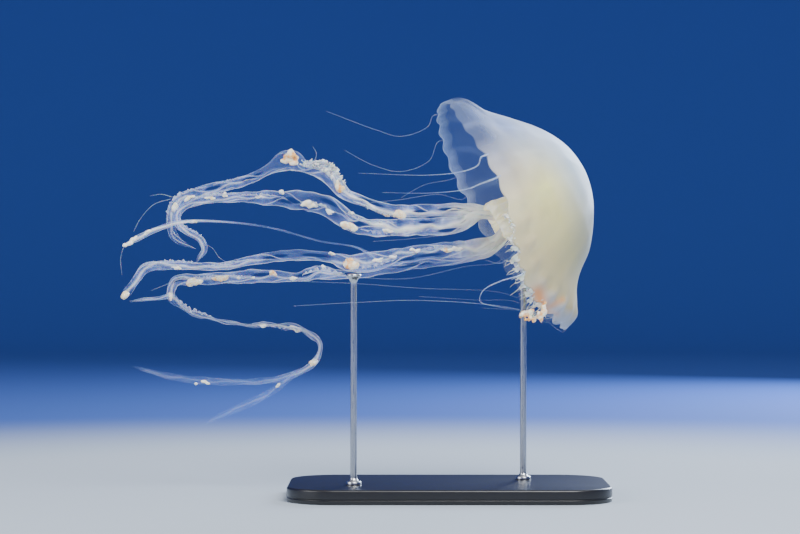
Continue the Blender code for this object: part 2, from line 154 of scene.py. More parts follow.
# Satin black lacquer over wood: nearly black, a soft clear sheen, and the faintest open grain.
lacquer, tree, shader, place = start_material(
    "black_lacquered_wood", Roughness=0.42, IOR=1.5, Coat_Weight=0.35, Coat_Roughness=0.22)
stretched = add(tree, "ShaderNodeMapping", {"Vector": place, "Scale": (0.06, 1.0, 1.0)})
GRAIN_PER_METRE = 900.0  # pores a little over a millimetre apart across the grain
grain = add(tree, "ShaderNodeTexNoise", {"Vector": stretched, "Scale": GRAIN_PER_METRE, "Detail": 4.0})
wire(shader, Base_Color=add(tree, "ShaderNodeValToRGB", (grain,), stops=((0.0, "#0d0d0f"), (1.0, "#1b1a1c"))),
     Normal=add(tree, "ShaderNodeBump", {"Height": grain, "Strength": 0.12, "Distance": 0.0002}))

base = as_piece("stand_plate", base_points, base_faces, lacquer)
base.data.set_sharp_from_angle(angle=math.radians(50))
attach(base, "root")
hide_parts("stand_base")

# ---- Stand rods -----------------------------------------------------------------------------
# Two 3.6 mm stainless rods, drawn and brushed, each pushed into a turned collar on the base.
# One ends in a ball under the roof of the bell, the other in a small pad under a mouth arm.
ROD_RADIUS = 1.8
ROD_FOOT = BASE_SIZE[2]
ROD_AROUND = 40
# height above the base and radius, then depth below the rod's top and radius
COLLAR = ((0.05, 0.0), (0.05, 3.9), (0.35, 4.2), (1.5, 4.2), (1.9, 3.9), (2.2, 2.9), (2.7, 2.3), (3.6, 2.05),
          (3.7, 1.8))
PAD = ((7.0, 1.8), (5.2, 1.84), (3.9, 2.1), (2.9, 2.7), (2.1, 3.6), (1.5, 4.15), (1.1, 4.2), (0.6, 4.15),
       (0.25, 3.8), (0.06, 3.1), (0.0, 2.0), (0.0, 0.0))
BALL_RADIUS = 3.2
BALL = [
    (BALL_RADIUS * (1 - math.cos(t)), BALL_RADIUS * math.sin(t))
    for t in np.linspace(math.pi - math.asin(ROD_RADIUS / BALL_RADIUS), 0, 22)
]

# Brushed stainless steel: fine draw lines run along the rod and spread its highlights.
steel, tree, shader, place = start_material("brushed_stainless_steel", Metallic=1.0, Roughness=0.28)
drawn = add(tree, "ShaderNodeMapping", {"Vector": place, "Scale": (1.0, 1.0, 0.03)})
LINES_PER_METRE = 3000.0  # a scratch about every third of a millimetre, as fine as the render shows
scratch = add(tree, "ShaderNodeTexNoise", {"Vector": drawn, "Scale": LINES_PER_METRE, "Detail": 2.0})
wire(shader, Base_Color=add(tree, "ShaderNodeValToRGB", (scratch,), stops=((0.0, "#b4b6b8"), (1.0, "#d5d7d8"))),
     Roughness=add(tree, "ShaderNodeMapRange", (scratch, 0.0, 1.0, 0.2, 0.38)),
     Normal=add(tree, "ShaderNodeBump", {"Height": scratch, "Strength": 0.15, "Distance": 0.0001}))


def turned(profile, where, around):
    """Rings of points up a profile of heights and radii, and the faces between them."""
    spin = np.linspace(0, 2 * math.pi, around, endpoint=False)
    rings = [
        np.column_stack([where[0] + r * np.cos(spin), where[1] + r * np.sin(spin), np.full(around, z)])
        for z, r in profile
    ]
    return np.concatenate(rings), grid_faces(len(profile), around, True)


for name, node, where, top, rod_head in (
    ("bell_rod", "stand_rod_bell", (44.0, 19.5), 192.6, BALL),
    ("arm_rod", "stand_rod_arms", (-50.0, -15.0), 122.9, PAD),
):
    profile = [(ROD_FOOT + up, radius) for up, radius in COLLAR]
    profile += [(top - down, radius) for down, radius in rod_head]
    rod_points, quads = turned(profile[1:-1], where, ROD_AROUND)
    rod_faces = [tuple(reversed(f)) for f in quads]
    last = len(rod_points)
    rod_points = np.vstack([rod_points, [(*where, profile[0][0]), (*where, profile[-1][0])]])
    for i in range(ROD_AROUND):
        after = (i + 1) % ROD_AROUND
        rod_faces += [(last, after, i), (last + 1, last - ROD_AROUND + i, last - ROD_AROUND + after)]
    rod = as_piece(name, rod_points, rod_faces, steel)
    rod.data.set_sharp_from_angle(angle=math.radians(40))
    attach(rod, "root")
    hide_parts(node)

# ---- Bell -----------------------------------------------------------------------------------
# The swimming bell: clear, milky jelly, thick at the crown and thin as film towards the margin,
# which is cut into 32 lappets. Its skin is finely grained and it has no seam anywhere.
BELL_CENTRE = np.array((33.5, 0.0, 154.5))
BELL_RISE = math.radians(29.8)
BELL_TURN = math.radians(10.5)
BELL_OUTER = ((0, 49.5), (14, 48.2), (30, 40), (44, 28.3), (57, 16.8), (64, 13), (69.2, 8), (71.4, 0))
BELL_INNER = ((13, 31), (22, 36.4), (33, 30.5), (45, 20.8), (56, 14.3), (63, 10.8), (68, 7), (70.2, 0))
LAPPETS = 32
LAPPET_ROOT = 63.0  # the radius at which the clefts begin
LAPPET_LENGTH = 2.2
LAPPET_LOSS = 0.7  # the lappets at the top of the margin are shorter by this share
FLARE_STARTS = 42.0
RIM_RADIUS = 71.4
SAG = 21.0
SAG_MIDDLE = math.radians(122.0)
SAG_HALF_WIDTH = math.radians(76.0)
SAG_CURL = 7.0
LIP = 7.0
LIP_MIDDLE = math.radians(50.0)
LIP_HALF_WIDTH = math.radians(45.0)
PINCH = 3.2
PINCH_RADIUS = 53.0
PINCH_WIDTH = 8.5
APEX_LEAN = 3.6
BELL_AROUND = 384
BELL_STEP = 1.0


def smooth_step(low, high, value):
    """A rise from 0 to 1 between low and high, level at both ends."""
    share = np.clip((value - low) / (high - low), 0.0, 1.0)
    return share * share * (3 - 2 * share)


def stations(rows, step):
    """Evenly spaced rows along the centripetal Catmull-Rom curve through the given rows."""
    given = np.array(rows, float)
    row = np.vstack([2 * given[0] - given[1], given, 2 * given[-1] - given[-2]])
    gap = np.sqrt(np.linalg.norm(np.diff(row[:, :3], axis=0), axis=1))
    knot = np.concatenate([[0], np.cumsum(gap)])
    dense = []
    for i in range(1, len(row) - 2):
        p, k = row[i - 1 : i + 3], knot[i - 1 : i + 3]
        for t in np.linspace(k[1], k[2], 24, endpoint=False):
            a = [((k[j + 1] - t) * p[j] + (t - k[j]) * p[j + 1]) / (k[j + 1] - k[j]) for j in range(3)]
            b = [((k[j + 2] - t) * a[j] + (t - k[j]) * a[j + 1]) / (k[j + 2] - k[j]) for j in range(2)]
            dense.append(((k[2] - t) * b[0] + (t - k[1]) * b[1]) / (k[2] - k[1]))
    dense.append(row[-2])
    dense = np.array(dense)
    run = np.concatenate([[0], np.cumsum(np.linalg.norm(np.diff(dense[:, :3], axis=0), axis=1))])
    even = np.linspace(0, run[-1], max(2, round(run[-1] / step) + 1))
    return np.column_stack([np.interp(even, run, column) for column in dense.T]), even


def bump(angle, middle, half_width):
    """A smooth rise from 0 to 1 and back, about the middle angle."""
    off_middle = np.clip((angle - middle) / half_width, -1, 1)
    return np.cos(math.pi / 2 * off_middle) ** 2


def bell_point(radius, height, angle):
    """Points of the bell: the angle runs from the top of the margin towards the front."""
    radius, height, angle = np.broadcast_arrays(*np.atleast_1d(radius, height, angle))
    sag = bump(angle, SAG_MIDDLE, SAG_HALF_WIDTH)
    lip = bump(angle, LIP_MIDDLE, LIP_HALF_WIDTH)
    flare = smooth_step(FLARE_STARTS, RIM_RADIUS, radius)
    rim = smooth_step(LAPPET_ROOT, RIM_RADIUS, radius)
    cleft = 0.5 - 0.5 * np.cos(LAPPETS * angle)
    waist = np.exp(-(((radius - PINCH_RADIUS) / PINCH_WIDTH) ** 2)) * np.maximum(0.0, -np.cos(angle))
    uneven = 1 + 0.5 * np.sin(5 * angle + 1) * np.sin(3 * angle)
    lappet = LAPPET_LENGTH * (1 - LAPPET_LOSS * np.maximum(0.0, np.cos(angle))) * uneven
    height = height + lappet * rim * cleft**1.5 - (SAG * sag + LIP * lip) * flare
    radius = radius - SAG_CURL * sag * flare * flare - PINCH * waist
    axis = np.array((math.cos(BELL_TURN) * math.cos(BELL_RISE), math.sin(BELL_TURN),
                     math.cos(BELL_TURN) * math.sin(BELL_RISE)))
    top = np.array((-math.sin(BELL_RISE), 0, math.cos(BELL_RISE)))
    front = np.cross(axis, top)
    lean = APEX_LEAN * np.maximum(0.0, height) / BELL_OUTER[0][1]
    across, forward = radius * np.cos(angle) + lean, radius * np.sin(angle)
    return BELL_CENTRE + height[..., None] * axis + across[..., None] * top + forward[..., None] * front


outer, _ = stations([(r, 0, u) for r, u in BELL_OUTER], BELL_STEP)
inner, _ = stations([(r, 0, u) for r, u in BELL_INNER], BELL_STEP)
wall = np.vstack([outer[1:], [(71.0, 0, -0.45)], inner[::-1]])
is_outer = np.concatenate([np.ones(len(outer) - 1), [0.5], np.zeros(len(inner))])
angle = np.linspace(0, 2 * math.pi, BELL_AROUND, endpoint=False)
radius = np.repeat(wall[:, :1], BELL_AROUND, axis=1)
height = np.repeat(wall[:, 2:], BELL_AROUND, axis=1)
turn = np.repeat(angle[None, :], len(wall), axis=0)
# soft folds: radial furrows that deepen towards the clefts, sixteen stomach pouches with a canal
# over each, and a slow swell round the crown
furrow = smooth_step(40, 69, radius) * np.cos(LAPPETS * turn / 2) ** 4
pouches = np.cos(8 * turn + 0.4)
pouch = smooth_step(24, 40, radius) * (1 - smooth_step(62, 70, radius)) * pouches**2
swell = 0.35 * np.sin(3 * turn + 0.07 * radius) * smooth_step(8, 30, radius)
outward = np.where(is_outer[:, None] > 0.4, 1.0, -1.0)
height = height - outward * (0.35 * furrow + 0.4 * pouch) - np.abs(swell)
bell_points = bell_point(radius, height, turn).reshape(-1, 3)
bell_points = np.vstack([bell_points, bell_point(0, BELL_OUTER[0][1], 0), bell_point(0, BELL_INNER[0][1], 0)])
bell_faces = [tuple(f) for f in grid_faces(len(wall), BELL_AROUND, True)]
crown, boss = len(bell_points) - 2, len(bell_points) - 1
last_ring = (len(wall) - 1) * BELL_AROUND
for i in range(BELL_AROUND):
    after = (i + 1) % BELL_AROUND
    bell_faces += [(crown, i, after), (boss, last_ring + after, last_ring + i)]


def with_poles(values, at_crown, at_boss):
    """Values over the wall's rings of points, and at its two poles."""
    return np.concatenate([np.broadcast_to(values, radius.shape).ravel(), [at_crown, at_boss]])


# peach blushes above and behind the tuft, on the front of the lower margin: from and to, as places
# across and up, half width and strength
BLUSHES = (
    ((48.5, 112.5), (52.5, 100.0), 4.0, 1.0),
    ((53.0, 104.0), (62.5, 109.0), 1.9, 0.6),
    ((54.0, 103.0), (60.0, 101.0), 1.8, 0.4),
)
blush = np.zeros(len(bell_points))
for start, stop, half_width, strength in BLUSHES:
    way = np.subtract(stop, start)
    share = np.clip((bell_points[:, ::2] - start) @ way / (way @ way), 0, 1)
    off = np.linalg.norm(bell_points[:, ::2] - (start + share[:, None] * way), axis=1)
    blush = np.maximum(blush, strength * np.exp(-((off / half_width) ** 2)) * (bell_points[:, 1] < -15))
bell_marks = {
    "rim": with_poles(radius / RIM_RADIUS, 0, 0.2),
    "upper": with_poles(np.cos(turn), 0, 0),
    "far": with_poles(-np.sin(turn), 0, 0),
    "canal": with_poles(pouches**24 * smooth_step(20, 34, radius), 0, 0),
    "blush": blush,
}

# Jelly cast in clear silicone: wet gloss over a milky depth, cream where it is thick, lavender where thin.
jelly, tree, shader, place = start_material(
    "milky_jelly", Roughness=0.5, IOR=1.36, Subsurface_Weight=0.6, Subsurface_Scale=0.0025,
    Subsurface_Radius=(1.0, 0.9, 0.7), Coat_Weight=0.12, Coat_Roughness=0.3, Sheen_Weight=0.25,
    Sheen_Roughness=0.2, Sheen_Tint=linear("#cfe6ff"))
mark = {key: add(tree, "ShaderNodeAttribute", out="Fac", attribute_name=key) for key in bell_marks}
CLOUDS_PER_METRE = 28.0  # milky clouds about 35 mm across
TATTERS_PER_METRE = 260.0  # the worn edge is ragged every 4 mm or so
for key, scale in (("clouds", CLOUDS_PER_METRE), ("tatters", TATTERS_PER_METRE)):
    mark[key] = add(tree, "ShaderNodeTexNoise", {"Vector": place, "Scale": scale, "Detail": 3.0})
mark["ends"] = add(tree, "ShaderNodeMath", (mark["upper"],), operation="ABSOLUTE")
tint = add(tree, "ShaderNodeValToRGB", (mark["rim"],), stops=(
    (0.3, "#a9c2d2"), (1.0, "#f8e6b8"), (0.46, "#b2c8d6"), (0.6, "#dde4cd"), (0.74, "#fff7aa"),
    (0.86, "#ffeeaa")))
# colours laid over it: each colour, then the marks that bring it in, from and to, and its share at
# either end
for colour, *bringing in (
    ("#a4bdf2", ("upper", 0.05, 0.75, 0.0, 0.95), ("rim", 0.1, 0.75, 0.0, 1.0)),
    # painted shade: the lower side of the bell is darkened to grey-brown, where less light falls on it
    ("#8c8468", ("upper", 0.0, -0.7, 0.0, 0.62), ("rim", 0.1, 0.5, 0.0, 1.0)),
    ("#f4ebb4", ("clouds", 0.35, 0.7, 0.0, 0.2)),
    ("#8fb2f0", ("far", -0.1, 0.6, 0.0, 0.6), ("rim", 0.1, 0.7, 0.0, 1.0)),
    ("#c3d8fa", ("rim", 0.945, 1.0, 0.0, 0.7), ("ends", 0.5, 0.95, 0.0, 1.0)),
    ("#ee9f58", ("blush", 0.0, 1.0, 0.0, 0.85)),
):
    share = 1.0
    for key, *limits in bringing:
        rise = add(tree, "ShaderNodeMapRange", (mark[key], *limits))
        share = add(tree, "ShaderNodeMath", (rise, share), operation="MULTIPLY")
    tint = add(tree, "ShaderNodeMix", {0: share, 6: tint, 7: colour}, out=2, data_type="RGBA")
# cover: the far wall is clear as glass but for its rim, the near wall thins out towards its margin
change = {key: add(tree, "ShaderNodeMapRange", (mark[by], *limits)) for key, by, *limits in (
    ("upper near least", "upper", 0.1, 0.6, 0.9, 0.07),
    ("lower near least", "upper", -1.0, -0.85, 0.5, 0.98),
    ("near thins from", "upper", 0.0, 0.6, 0.88, 0.68),
    ("far least", "upper", -0.95, -0.7, 0.4, 0.07),
    ("clouded", "clouds", 0.3, 0.7, 0.85, 1.3),
    ("far edge", "far", -0.4, 0.1, 0.12, 0.85),
    ("upper edge", "upper", -0.3, 0.3, 0.15, 1.0),
    ("tattered", "tatters", 0.35, 0.65, 0.7, 1.0),
    ("blushed", "blush", 0.0, 1.0, 0.0, 0.8),
)}
least = (change["upper near least"], change["lower near least"])
least = add(tree, "ShaderNodeMath", least, operation="MINIMUM")
near = add(tree, "ShaderNodeMapRange", (mark["rim"], change["near thins from"], 0.98, 1.0, least),
           interpolation_type="SMOOTHSTEP")
far = add(tree, "ShaderNodeMapRange", (mark["rim"], 0.5, 0.76, 1.0, change["far least"]),
          interpolation_type="SMOOTHSTEP")
cover = add(tree, "ShaderNodeMapRange", (mark["far"], -0.1, 0.4, near, far))
cover = add(tree, "ShaderNodeMath", (cover, change["clouded"]), operation="MULTIPLY")
cover = add(tree, "ShaderNodeMath", (mark["canal"], 0.1, cover), operation="MULTIPLY_ADD")
edge = add(tree, "ShaderNodeMath", (change["far edge"], change["upper edge"]), operation="MULTIPLY")
edge = add(tree, "ShaderNodeMapRange", (mark["rim"], 0.978, 0.999, 0.0, edge))
edge = add(tree, "ShaderNodeMath", (edge, change["tattered"]), operation="MULTIPLY")
for layer in (edge, change["blushed"]):
    cover = add(tree, "ShaderNodeMath", (cover, layer), operation="MAXIMUM", use_clamp=True)
WARTS_PER_METRE = 1100.0  # stinging warts just under a millimetre apart
warts = add(tree, "ShaderNodeTexVoronoi", {"Vector": place, "Scale": WARTS_PER_METRE})
waves = add(tree, "ShaderNodeBump", {"Height": mark["clouds"], "Strength": 0.35, "Distance": 0.001})
grained = add(tree, "ShaderNodeBump", {"Height": warts, "Strength": 0.1, "Distance": 0.00015, "Normal": waves})
wire(shader, Base_Color=tint, Alpha=cover, Normal=grained)

bell = as_piece("bell_skin", bell_points, bell_faces, jelly, bell_marks)
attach(bell, "root")
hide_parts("bell")

# ---- Mouth stalk ----------------------------------------------------------------------------
# The stalk that hangs from the middle of the bell: four-cornered, pleated, thick yellowish flesh
# with a frilled mouth between the roots of the four arms.
# height and radius, down the outside and up into the mouth
STALK = ((31.0, 12.7), (26, 11), (22, 9.5), (10, 9.0), (0, 11.0), (-5, 12.5), (-8, 9.8), (-6.5, 7), (-2, 4.2),
         (4, 2.4), (8, 1.2))
STALK_CORNERS = 0.18
STALK_AROUND = 144
PLEATS = 20

stalk_rows, _ = stations([(u, 0, r) for u, r in STALK], 0.8)
stalk_height = stalk_rows[:, :1]
spin = np.linspace(0, 2 * math.pi, STALK_AROUND, endpoint=False)[None, :]
corner = 1 + STALK_CORNERS * np.cos(4 * (spin - math.pi / 4))
pleat = 0.055 * np.sin(PLEATS * spin + 0.22 * stalk_height) + 0.03 * np.sin(7 * spin - 0.3 * stalk_height)
stalk_radius = stalk_rows[:, 2:] * corner * (0.95 + pleat)
stalk_points = bell_point(stalk_radius, stalk_height, spin).reshape(-1, 3)
stalk_faces = [tuple(f) for f in grid_faces(len(stalk_rows), STALK_AROUND, True)]
last_ring = len(stalk_points) - STALK_AROUND
stalk_faces += [tuple(range(STALK_AROUND)), tuple(reversed(range(last_ring, len(stalk_points))))]

# Flesh of the mouth: dense, moist silicone tinted yellow-cream, smooth but for shallow blotches.
# A little light of its own stands for the light that the clear jelly around it passes on.
flesh, tree, shader, place = start_material(
    "mouth_flesh_silicone", Roughness=0.38, IOR=1.38, Subsurface_Weight=0.5, Subsurface_Scale=0.004,
    Subsurface_Radius=(1.0, 0.8, 0.55), Coat_Weight=0.35, Coat_Roughness=0.15, Emission_Strength=0.42)
BLOTCHES_PER_METRE = 160.0  # blotches about 6 mm across
blotch = add(tree, "ShaderNodeTexNoise", {"Vector": place, "Scale": BLOTCHES_PER_METRE, "Detail": 4.0})
tone = add(tree, "ShaderNodeValToRGB", (blotch,), stops=((0.3, "#fff7de"), (0.7, "#f2e0a0"), (0.52, "#fff0c2")))
bumps = add(tree, "ShaderNodeBump", {"Height": blotch, "Strength": 0.4, "Distance": 0.0008})
wire(shader, Base_Color=tone, Emission_Color=tone, Normal=bumps)

stalk = as_piece("mouth_stalk_skin", stalk_points, stalk_faces, flesh)
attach(stalk, "root")
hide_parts("manubrium")

# ---- Mouth arms -----------------------------------------------------------------------------
# Four long arms and their side strands: thin films of clear flesh, frilled along both edges and
# a little thicker down the middle, trailing from the mouth. Each row is x, y, z, half width.
STRANDS = {
    "arm_1": (
        (31, 3, 156, 3), (14, 8, 158, 3.8), (-6, 10, 158, 3.6), (-30, 11, 158, 3.4), (-45, 11, 163, 2.8),
        (-55, 10, 167, 3.4), (-67, 8, 179.5, 5), (-77, 6, 182, 3.6), (-86, 5, 185.5, 6.2),
        (-96, 4, 181, 3.2), (-109, 3, 174.5, 2.8), (-137, 3, 167, 3.4), (-148, 2, 161.5, 3.2),
        (-151, 3, 149, 2.5), (-148, 8, 141.5, 2), (-138.5, 13, 136.5, 0.7),
    ),
    "arm_2": (
        (30, -4, 154, 2.6), (19, -6, 155, 2.6), (8, -6, 150, 4.6), (-19, -6, 148.5, 5),
        (-44, -4, 148.5, 4.8), (-54, -4, 152.5, 5.4), (-64, -7, 159.5, 5.6), (-73, -11, 162, 5.8),
        (-88, -13, 163.5, 4.8), (-113, -12, 164.5, 2.8), (-137, -8, 162, 2.2), (-146, -6, 157, 2.2),
        (-146, -5, 149.5, 2), (-134, -5, 141.5, 1.9), (-132, -5, 136, 1.7), (-135, -5, 131.6, 1.5),
        (-136.5, -4, 128.6, 1.3),
    ),
    "arm_3": (
        (34, -5, 148, 3), (27, -6, 140, 4), (17, -8, 137.2, 4.8), (-8, -13, 135, 4.3), (-27, -16, 132, 4.6),
        (-41, -16, 129.2, 5.4), (-52, -15, 128.5, 4.8), (-62, -12, 131.5, 2.9), (-84, -6, 133, 3.1),
        (-107, -1, 130, 2.6), (-122, -1, 127, 2.2), (-152, -4, 127.4, 2.5), (-164, -6, 126, 2.7),
        (-168.5, -7, 120.5, 2.4), (-172, -8, 115.5, 2.3), (-174.5, -8, 112, 3), (-176.8, -8, 109, 1.8),
    ),
    "arm_4": (
        (35, 3, 147, 3), (27, 6, 136.5, 2.8), (14, 7, 131.5, 2.2), (-19, 10, 127.5, 2.7),
        (-47, 10, 123, 2.8), (-60, 9, 122.3, 2.8), (-69, 9, 123.5, 4.2), (-82, 9, 121, 2.6),
        (-100, 9, 121.5, 4), (-120, 8, 120.5, 3.4), (-138, 7, 119.5, 3.2), (-149, 6, 118.5, 3),
        (-151, 8, 110, 2.8), (-141.5, 13, 102, 2.4), (-113, 21, 94.3, 1.5), (-96, 25, 94, 2.6),
        (-79, 30, 91, 2.6), (-70, 33, 83, 1.8), (-72, 35, 74, 1.8), (-88, 37, 64.5, 2.2),
        (-115, 39, 61.5, 1.8), (-134, 40, 62, 2.3), (-152, 40, 64, 2), (-176, 37, 70.3, 0.7),
    ),
    "filament": (
        (-38, -16, 131.5, 1.2), (-48, -18, 137, 0.5), (-68, -24, 140.5, 0.45), (-96, -24, 148, 0.45),
        (-129, -18, 151.5, 0.6), (-146, -17, 150.5, 1.0), (-159, -19, 146, 1.5), (-168, -21, 141.5, 1.5),
        (-174, -24, 138, 1.0),
    ),
    "fork": (
        (-84, 36.5, 66.5, 1.6), (-96, 38, 57, 1.9), (-110, 38, 49.5, 2.2), (-128, 38, 41.5, 1.4),
        (-136, 38, 37, 0.7),
    ),
    "link": (
        (-151, 8, 111, 1.6), (-157, 3, 109.4, 1), (-166, -4, 108.6, 0.8), (-172.5, -7.5, 107.6, 0.8),
    ),
}
ARMS = 4  # the first four strands are the arms, and the others hang on them
FILM_STEP = 0.9
FILM_ACROSS = 25
BROAD_RUFFLE = 0.3  # sideways swing as a share of the half width, over RUFFLE_LENGTH
RUFFLE_LENGTH = 17.0
FINE_RUFFLE = 0.1
FINE_LENGTH = 6.1
CRIMP = 0.14
CRIMP_LENGTH = 2.7
SPUR_EVERY = 15.0
SPUR_REACH = 19.0
FAINT_FROM = 240.0  # beyond this distance an arm has no spur threads
TIP_FROM = 320.0  # beyond this distance it has no cream at all
CREAM_REACH = 32.0  # over about this distance the cream of the mouth fades along an arm
CURTAIN_STEP = 0.5
CURTAIN_ACROSS = 8
# Dress along each strand: distance, brightness of the upper and the lower lip, milkiness of the
# film, where its core runs across it, and the core's half thickness.
DRESS = {
    "arm_1": (
        (0, 0.6, 0.6, 1.0, 0, 2.4), (22, 0.5, 0.6, 0.9, -0.1, 1.9), (34, 0.4, 0.6, 0.45, -0.3, 1.2),
        (56, 0.5, 0.8, 0.85, -0.5, 1.6), (75, 0.8, 0.7, 0.8, -0.2, 1.2), (90, 0.9, 0.9, 0.7, 0.2, 1.0),
        (108, 0.7, 0.9, 0.6, 0.3, 0.9), (118, 0.4, 0.9, 0.2, -0.7, 0.6), (132, 0.3, 0.9, 0.1, -0.75, 0.5),
        (146, 0.2, 0.6, 0.1, -0.4, 0.5), (153, 0.7, 0.8, 0.5, 0.1, 0.7), (180, 0.3, 0.7, 0.45, -0.5, 0.8),
        (200, 0.5, 0.25, 0.55, 0.2, 0.9), (224, 0.05, 0.1, 0.2, 0, 0.4),
    ),
    "arm_2": (
        (0, 0.6, 0.6, 1.0, 0, 2.4), (20, 0.5, 0.7, 0.9, 0.2, 1.9), (32, 0.4, 0.7, 0.55, 0.1, 1.3),
        (50, 0.4, 0.8, 0.95, -0.3, 2.0), (70, 0.8, 0.8, 0.9, 0.3, 1.5), (80, 0.9, 0.7, 0.4, 0.6, 0.7),
        (97, 0.8, 0.6, 0.2, -0.2, 0.5), (118, 0.6, 0.6, 0.15, -0.3, 0.5), (135, 0.7, 0.6, 0.4, 0.2, 0.6),
        (160, 0.3, 0.8, 0.5, -0.4, 0.8), (182, 0.2, 0.5, 0.5, -0.2, 0.8), (200, 0.5, 0.2, 0.6, 0.3, 0.8),
        (217, 0.2, 0.4, 0.5, 0, 0.7),
    ),
    "arm_3": (
        (0, 0.5, 0.5, 1.0, 0, 2.0), (18, 0.5, 0.4, 0.9, 0, 1.6), (34, 0.3, 0.3, 0.4, 0.1, 0.9),
        (50, 0.4, 0.2, 0.4, 0.2, 0.9), (75, 0.5, 0.5, 0.5, 0.1, 0.9), (92, 0.7, 0.8, 0.6, 0, 1.0),
        (104, 0.3, 0.8, 0.15, -0.6, 0.6), (135, 0.2, 0.8, 0.1, -0.6, 0.5), (150, 0.6, 0.7, 0.5, -0.2, 0.9),
        (178, 0.3, 0.6, 0.5, -0.3, 0.8), (200, 0.5, 0.2, 0.55, 0.3, 0.9), (214, 0.2, 0.45, 0.55, -0.1, 0.9),
        (224, 0.2, 0.3, 0.6, 0, 0.9),
    ),
    "arm_4": (
        (0, 0.5, 0.5, 0.9, 0, 1.6), (25, 0.2, 0.3, 0.25, 0, 0.5), (65, 0.2, 0.4, 0.15, 0.2, 0.4),
        (92, 0.4, 0.6, 0.2, 0.1, 0.6), (105, 0.5, 0.8, 0.5, -0.1, 0.8), (125, 0.5, 0.6, 0.3, -0.3, 0.7),
        (160, 0.6, 0.5, 0.45, 0, 0.8), (185, 0.5, 0.4, 0.5, 0.2, 0.9), (204, 0.2, 0.5, 0.6, -0.2, 0.9),
        (220, 0.4, 0.2, 0.5, 0.2, 0.7), (236, 0.1, 0.3, 0.3, 0, 0.4), (258, 0.3, 0.4, 0.6, 0, 0.8),
        (280, 0.3, 0.5, 0.6, 0, 0.9), (306, 0.3, 0.3, 0.55, 0, 0.8), (320, 0.04, 0.07, 0.22, 0, 0.6),
        (345, 0, 0, 0.14, 0, 0.6), (420, 0, 0, 0.07, 0, 0.6),
    ),
    "filament": (
        (0, 0.3, 0.3, 0.3, 0, 0.5), (20, 0.05, 0.05, 0.07, 0, 0.3), (72, 0.05, 0.1, 0.1, 0, 0.3),
        (96, 0.3, 0.4, 0.5, 0, 0.6), (112, 0.5, 0.6, 0.8, 0, 0.8), (146, 0.5, 0.5, 0.8, 0, 0.9),
    ),
    "fork": ((0, 0.04, 0.07, 0.22, 0, 0.6), (64, 0, 0, 0.09, 0, 0.6)),
    "link": ((0, 0.5, 0.5, 0.5, 0, 0.4), (26, 0.6, 0.6, 0.5, 0, 0.4)),
}
# hair-fine wisps that trail from the arms: the points each passes through
WISPS = (
    ((-151, 2, 164), (-160, 0, 161), (-167, -2, 153.5), (-171, -3, 146)),
    ((-150, 1, 165), (-156, -1, 166.5), (-162, -3, 165.5)),
    ((-134, -5, 140), (-128, -2, 137), (-124, 1, 131.5), (-119, 3, 128.5)),
    ((-174, -24, 138), (-176, -22, 131), (-175.5, -20, 122)),
    ((-78, -9, 181), (-71.5, -8, 185), (-70.5, -7, 188.5), (-72.5, -6, 192.5)),
    ((-151, 8, 118), (-156, 6, 116), (-162, 4, 113.5)),
)
# where the film has torn away to a hole: distance along, place across, half length, half width across
HOLES = {
    "arm_1": (
        (28, 0.1, 9, 0.3), (45, -0.1, 5, 0.25), (74, 0.35, 9, 0.4), (150, 0.1, 8, 0.35),
        (172, 0.15, 5, 0.3),
    ),
    "arm_2": (
        (30, -0.5, 7, 0.25), (42, 0.5, 5, 0.2), (79, 0.15, 6, 0.35), (100, 0.45, 6, 0.25),
        (122, -0.1, 9, 0.4),
    ),
    "arm_3": (
        (48, -0.45, 8, 0.25), (62, -0.5, 7, 0.3), (112, 0.1, 9, 0.4), (135, 0.0, 8, 0.4),
    ),
    "arm_4": (
        (60, 0.0, 12, 0.4), (95, 0.1, 10, 0.4), (120, 0.2, 6, 0.4), (144, 0.2, 6, 0.35),
        (190, 0.1, 5, 0.35),
    ),
}
# bunched lettuce frill: strand, from and to along it, place across, way it stands, how far, how milky
CURTAINS = (
    ("arm_1", 87, 121, 0.45, 1, 5.2, 1.0), ("arm_1", 90, 119, 0.1, 1, 5.0, 1.0),
    ("arm_1", 94, 114, 0.75, 1, 4.2, 1.0), ("arm_1", 99, 121, -0.1, 1, 4.6, 0.9),
    ("arm_1", 50, 84, -0.5, -1, 2.4, 0.6), ("arm_1", 150, 172, 0.6, 1, 2.0, 0.4),
    ("arm_1", 182, 204, -0.2, 1, 2.4, 0.5), ("arm_2", 40, 78, -0.3, -1, 3.2, 0.5),
    ("arm_2", 58, 92, 0.5, 1, 2.4, 0.6), ("arm_2", 98, 116, -0.2, 1, 2.4, 0.8),
    ("arm_2", 128, 150, 0.3, 1, 1.8, 0.5), ("arm_3", 26, 62, 0.2, 1, 2.6, 0.4),
    ("arm_3", 66, 98, -0.2, -1, 3.0, 0.5), ("arm_3", 148, 176, 0.1, 1, 2.0, 0.5),
    ("arm_4", 98, 122, 0.2, 1, 3.0, 0.6), ("arm_4", 150, 192, 0.0, 1, 2.4, 0.5),
    ("arm_4", 250, 290, 0.1, 1, 1.8, 0.5), ("arm_1", 176, 206, 0.6, 1, 2.6, 0.5),
    ("arm_2", 148, 178, 0.55, 1, 2.6, 0.5), ("arm_2", 184, 212, -0.5, -1, 2.2, 0.5),
    ("arm_3", 176, 208, 0.55, 1, 2.4, 0.5), ("arm_4", 200, 230, -0.5, -1, 2.6, 0.5),
    ("arm_1", 160, 182, -0.6, -1, 2.2, 0.4),
)


def carried_frames(path, first_side):
    """Tangents, and a side direction carried along the path without twisting."""
    tangents = np.gradient(path, axis=0)
    tangents /= np.linalg.norm(tangents, axis=1)[:, None]
    side = np.array(first_side, float)
    sides = []
    for tangent in tangents:
        side = side - tangent * side.dot(tangent)
        side /= np.linalg.norm(side)
        sides.append(side)
    return tangents, np.array(sides)


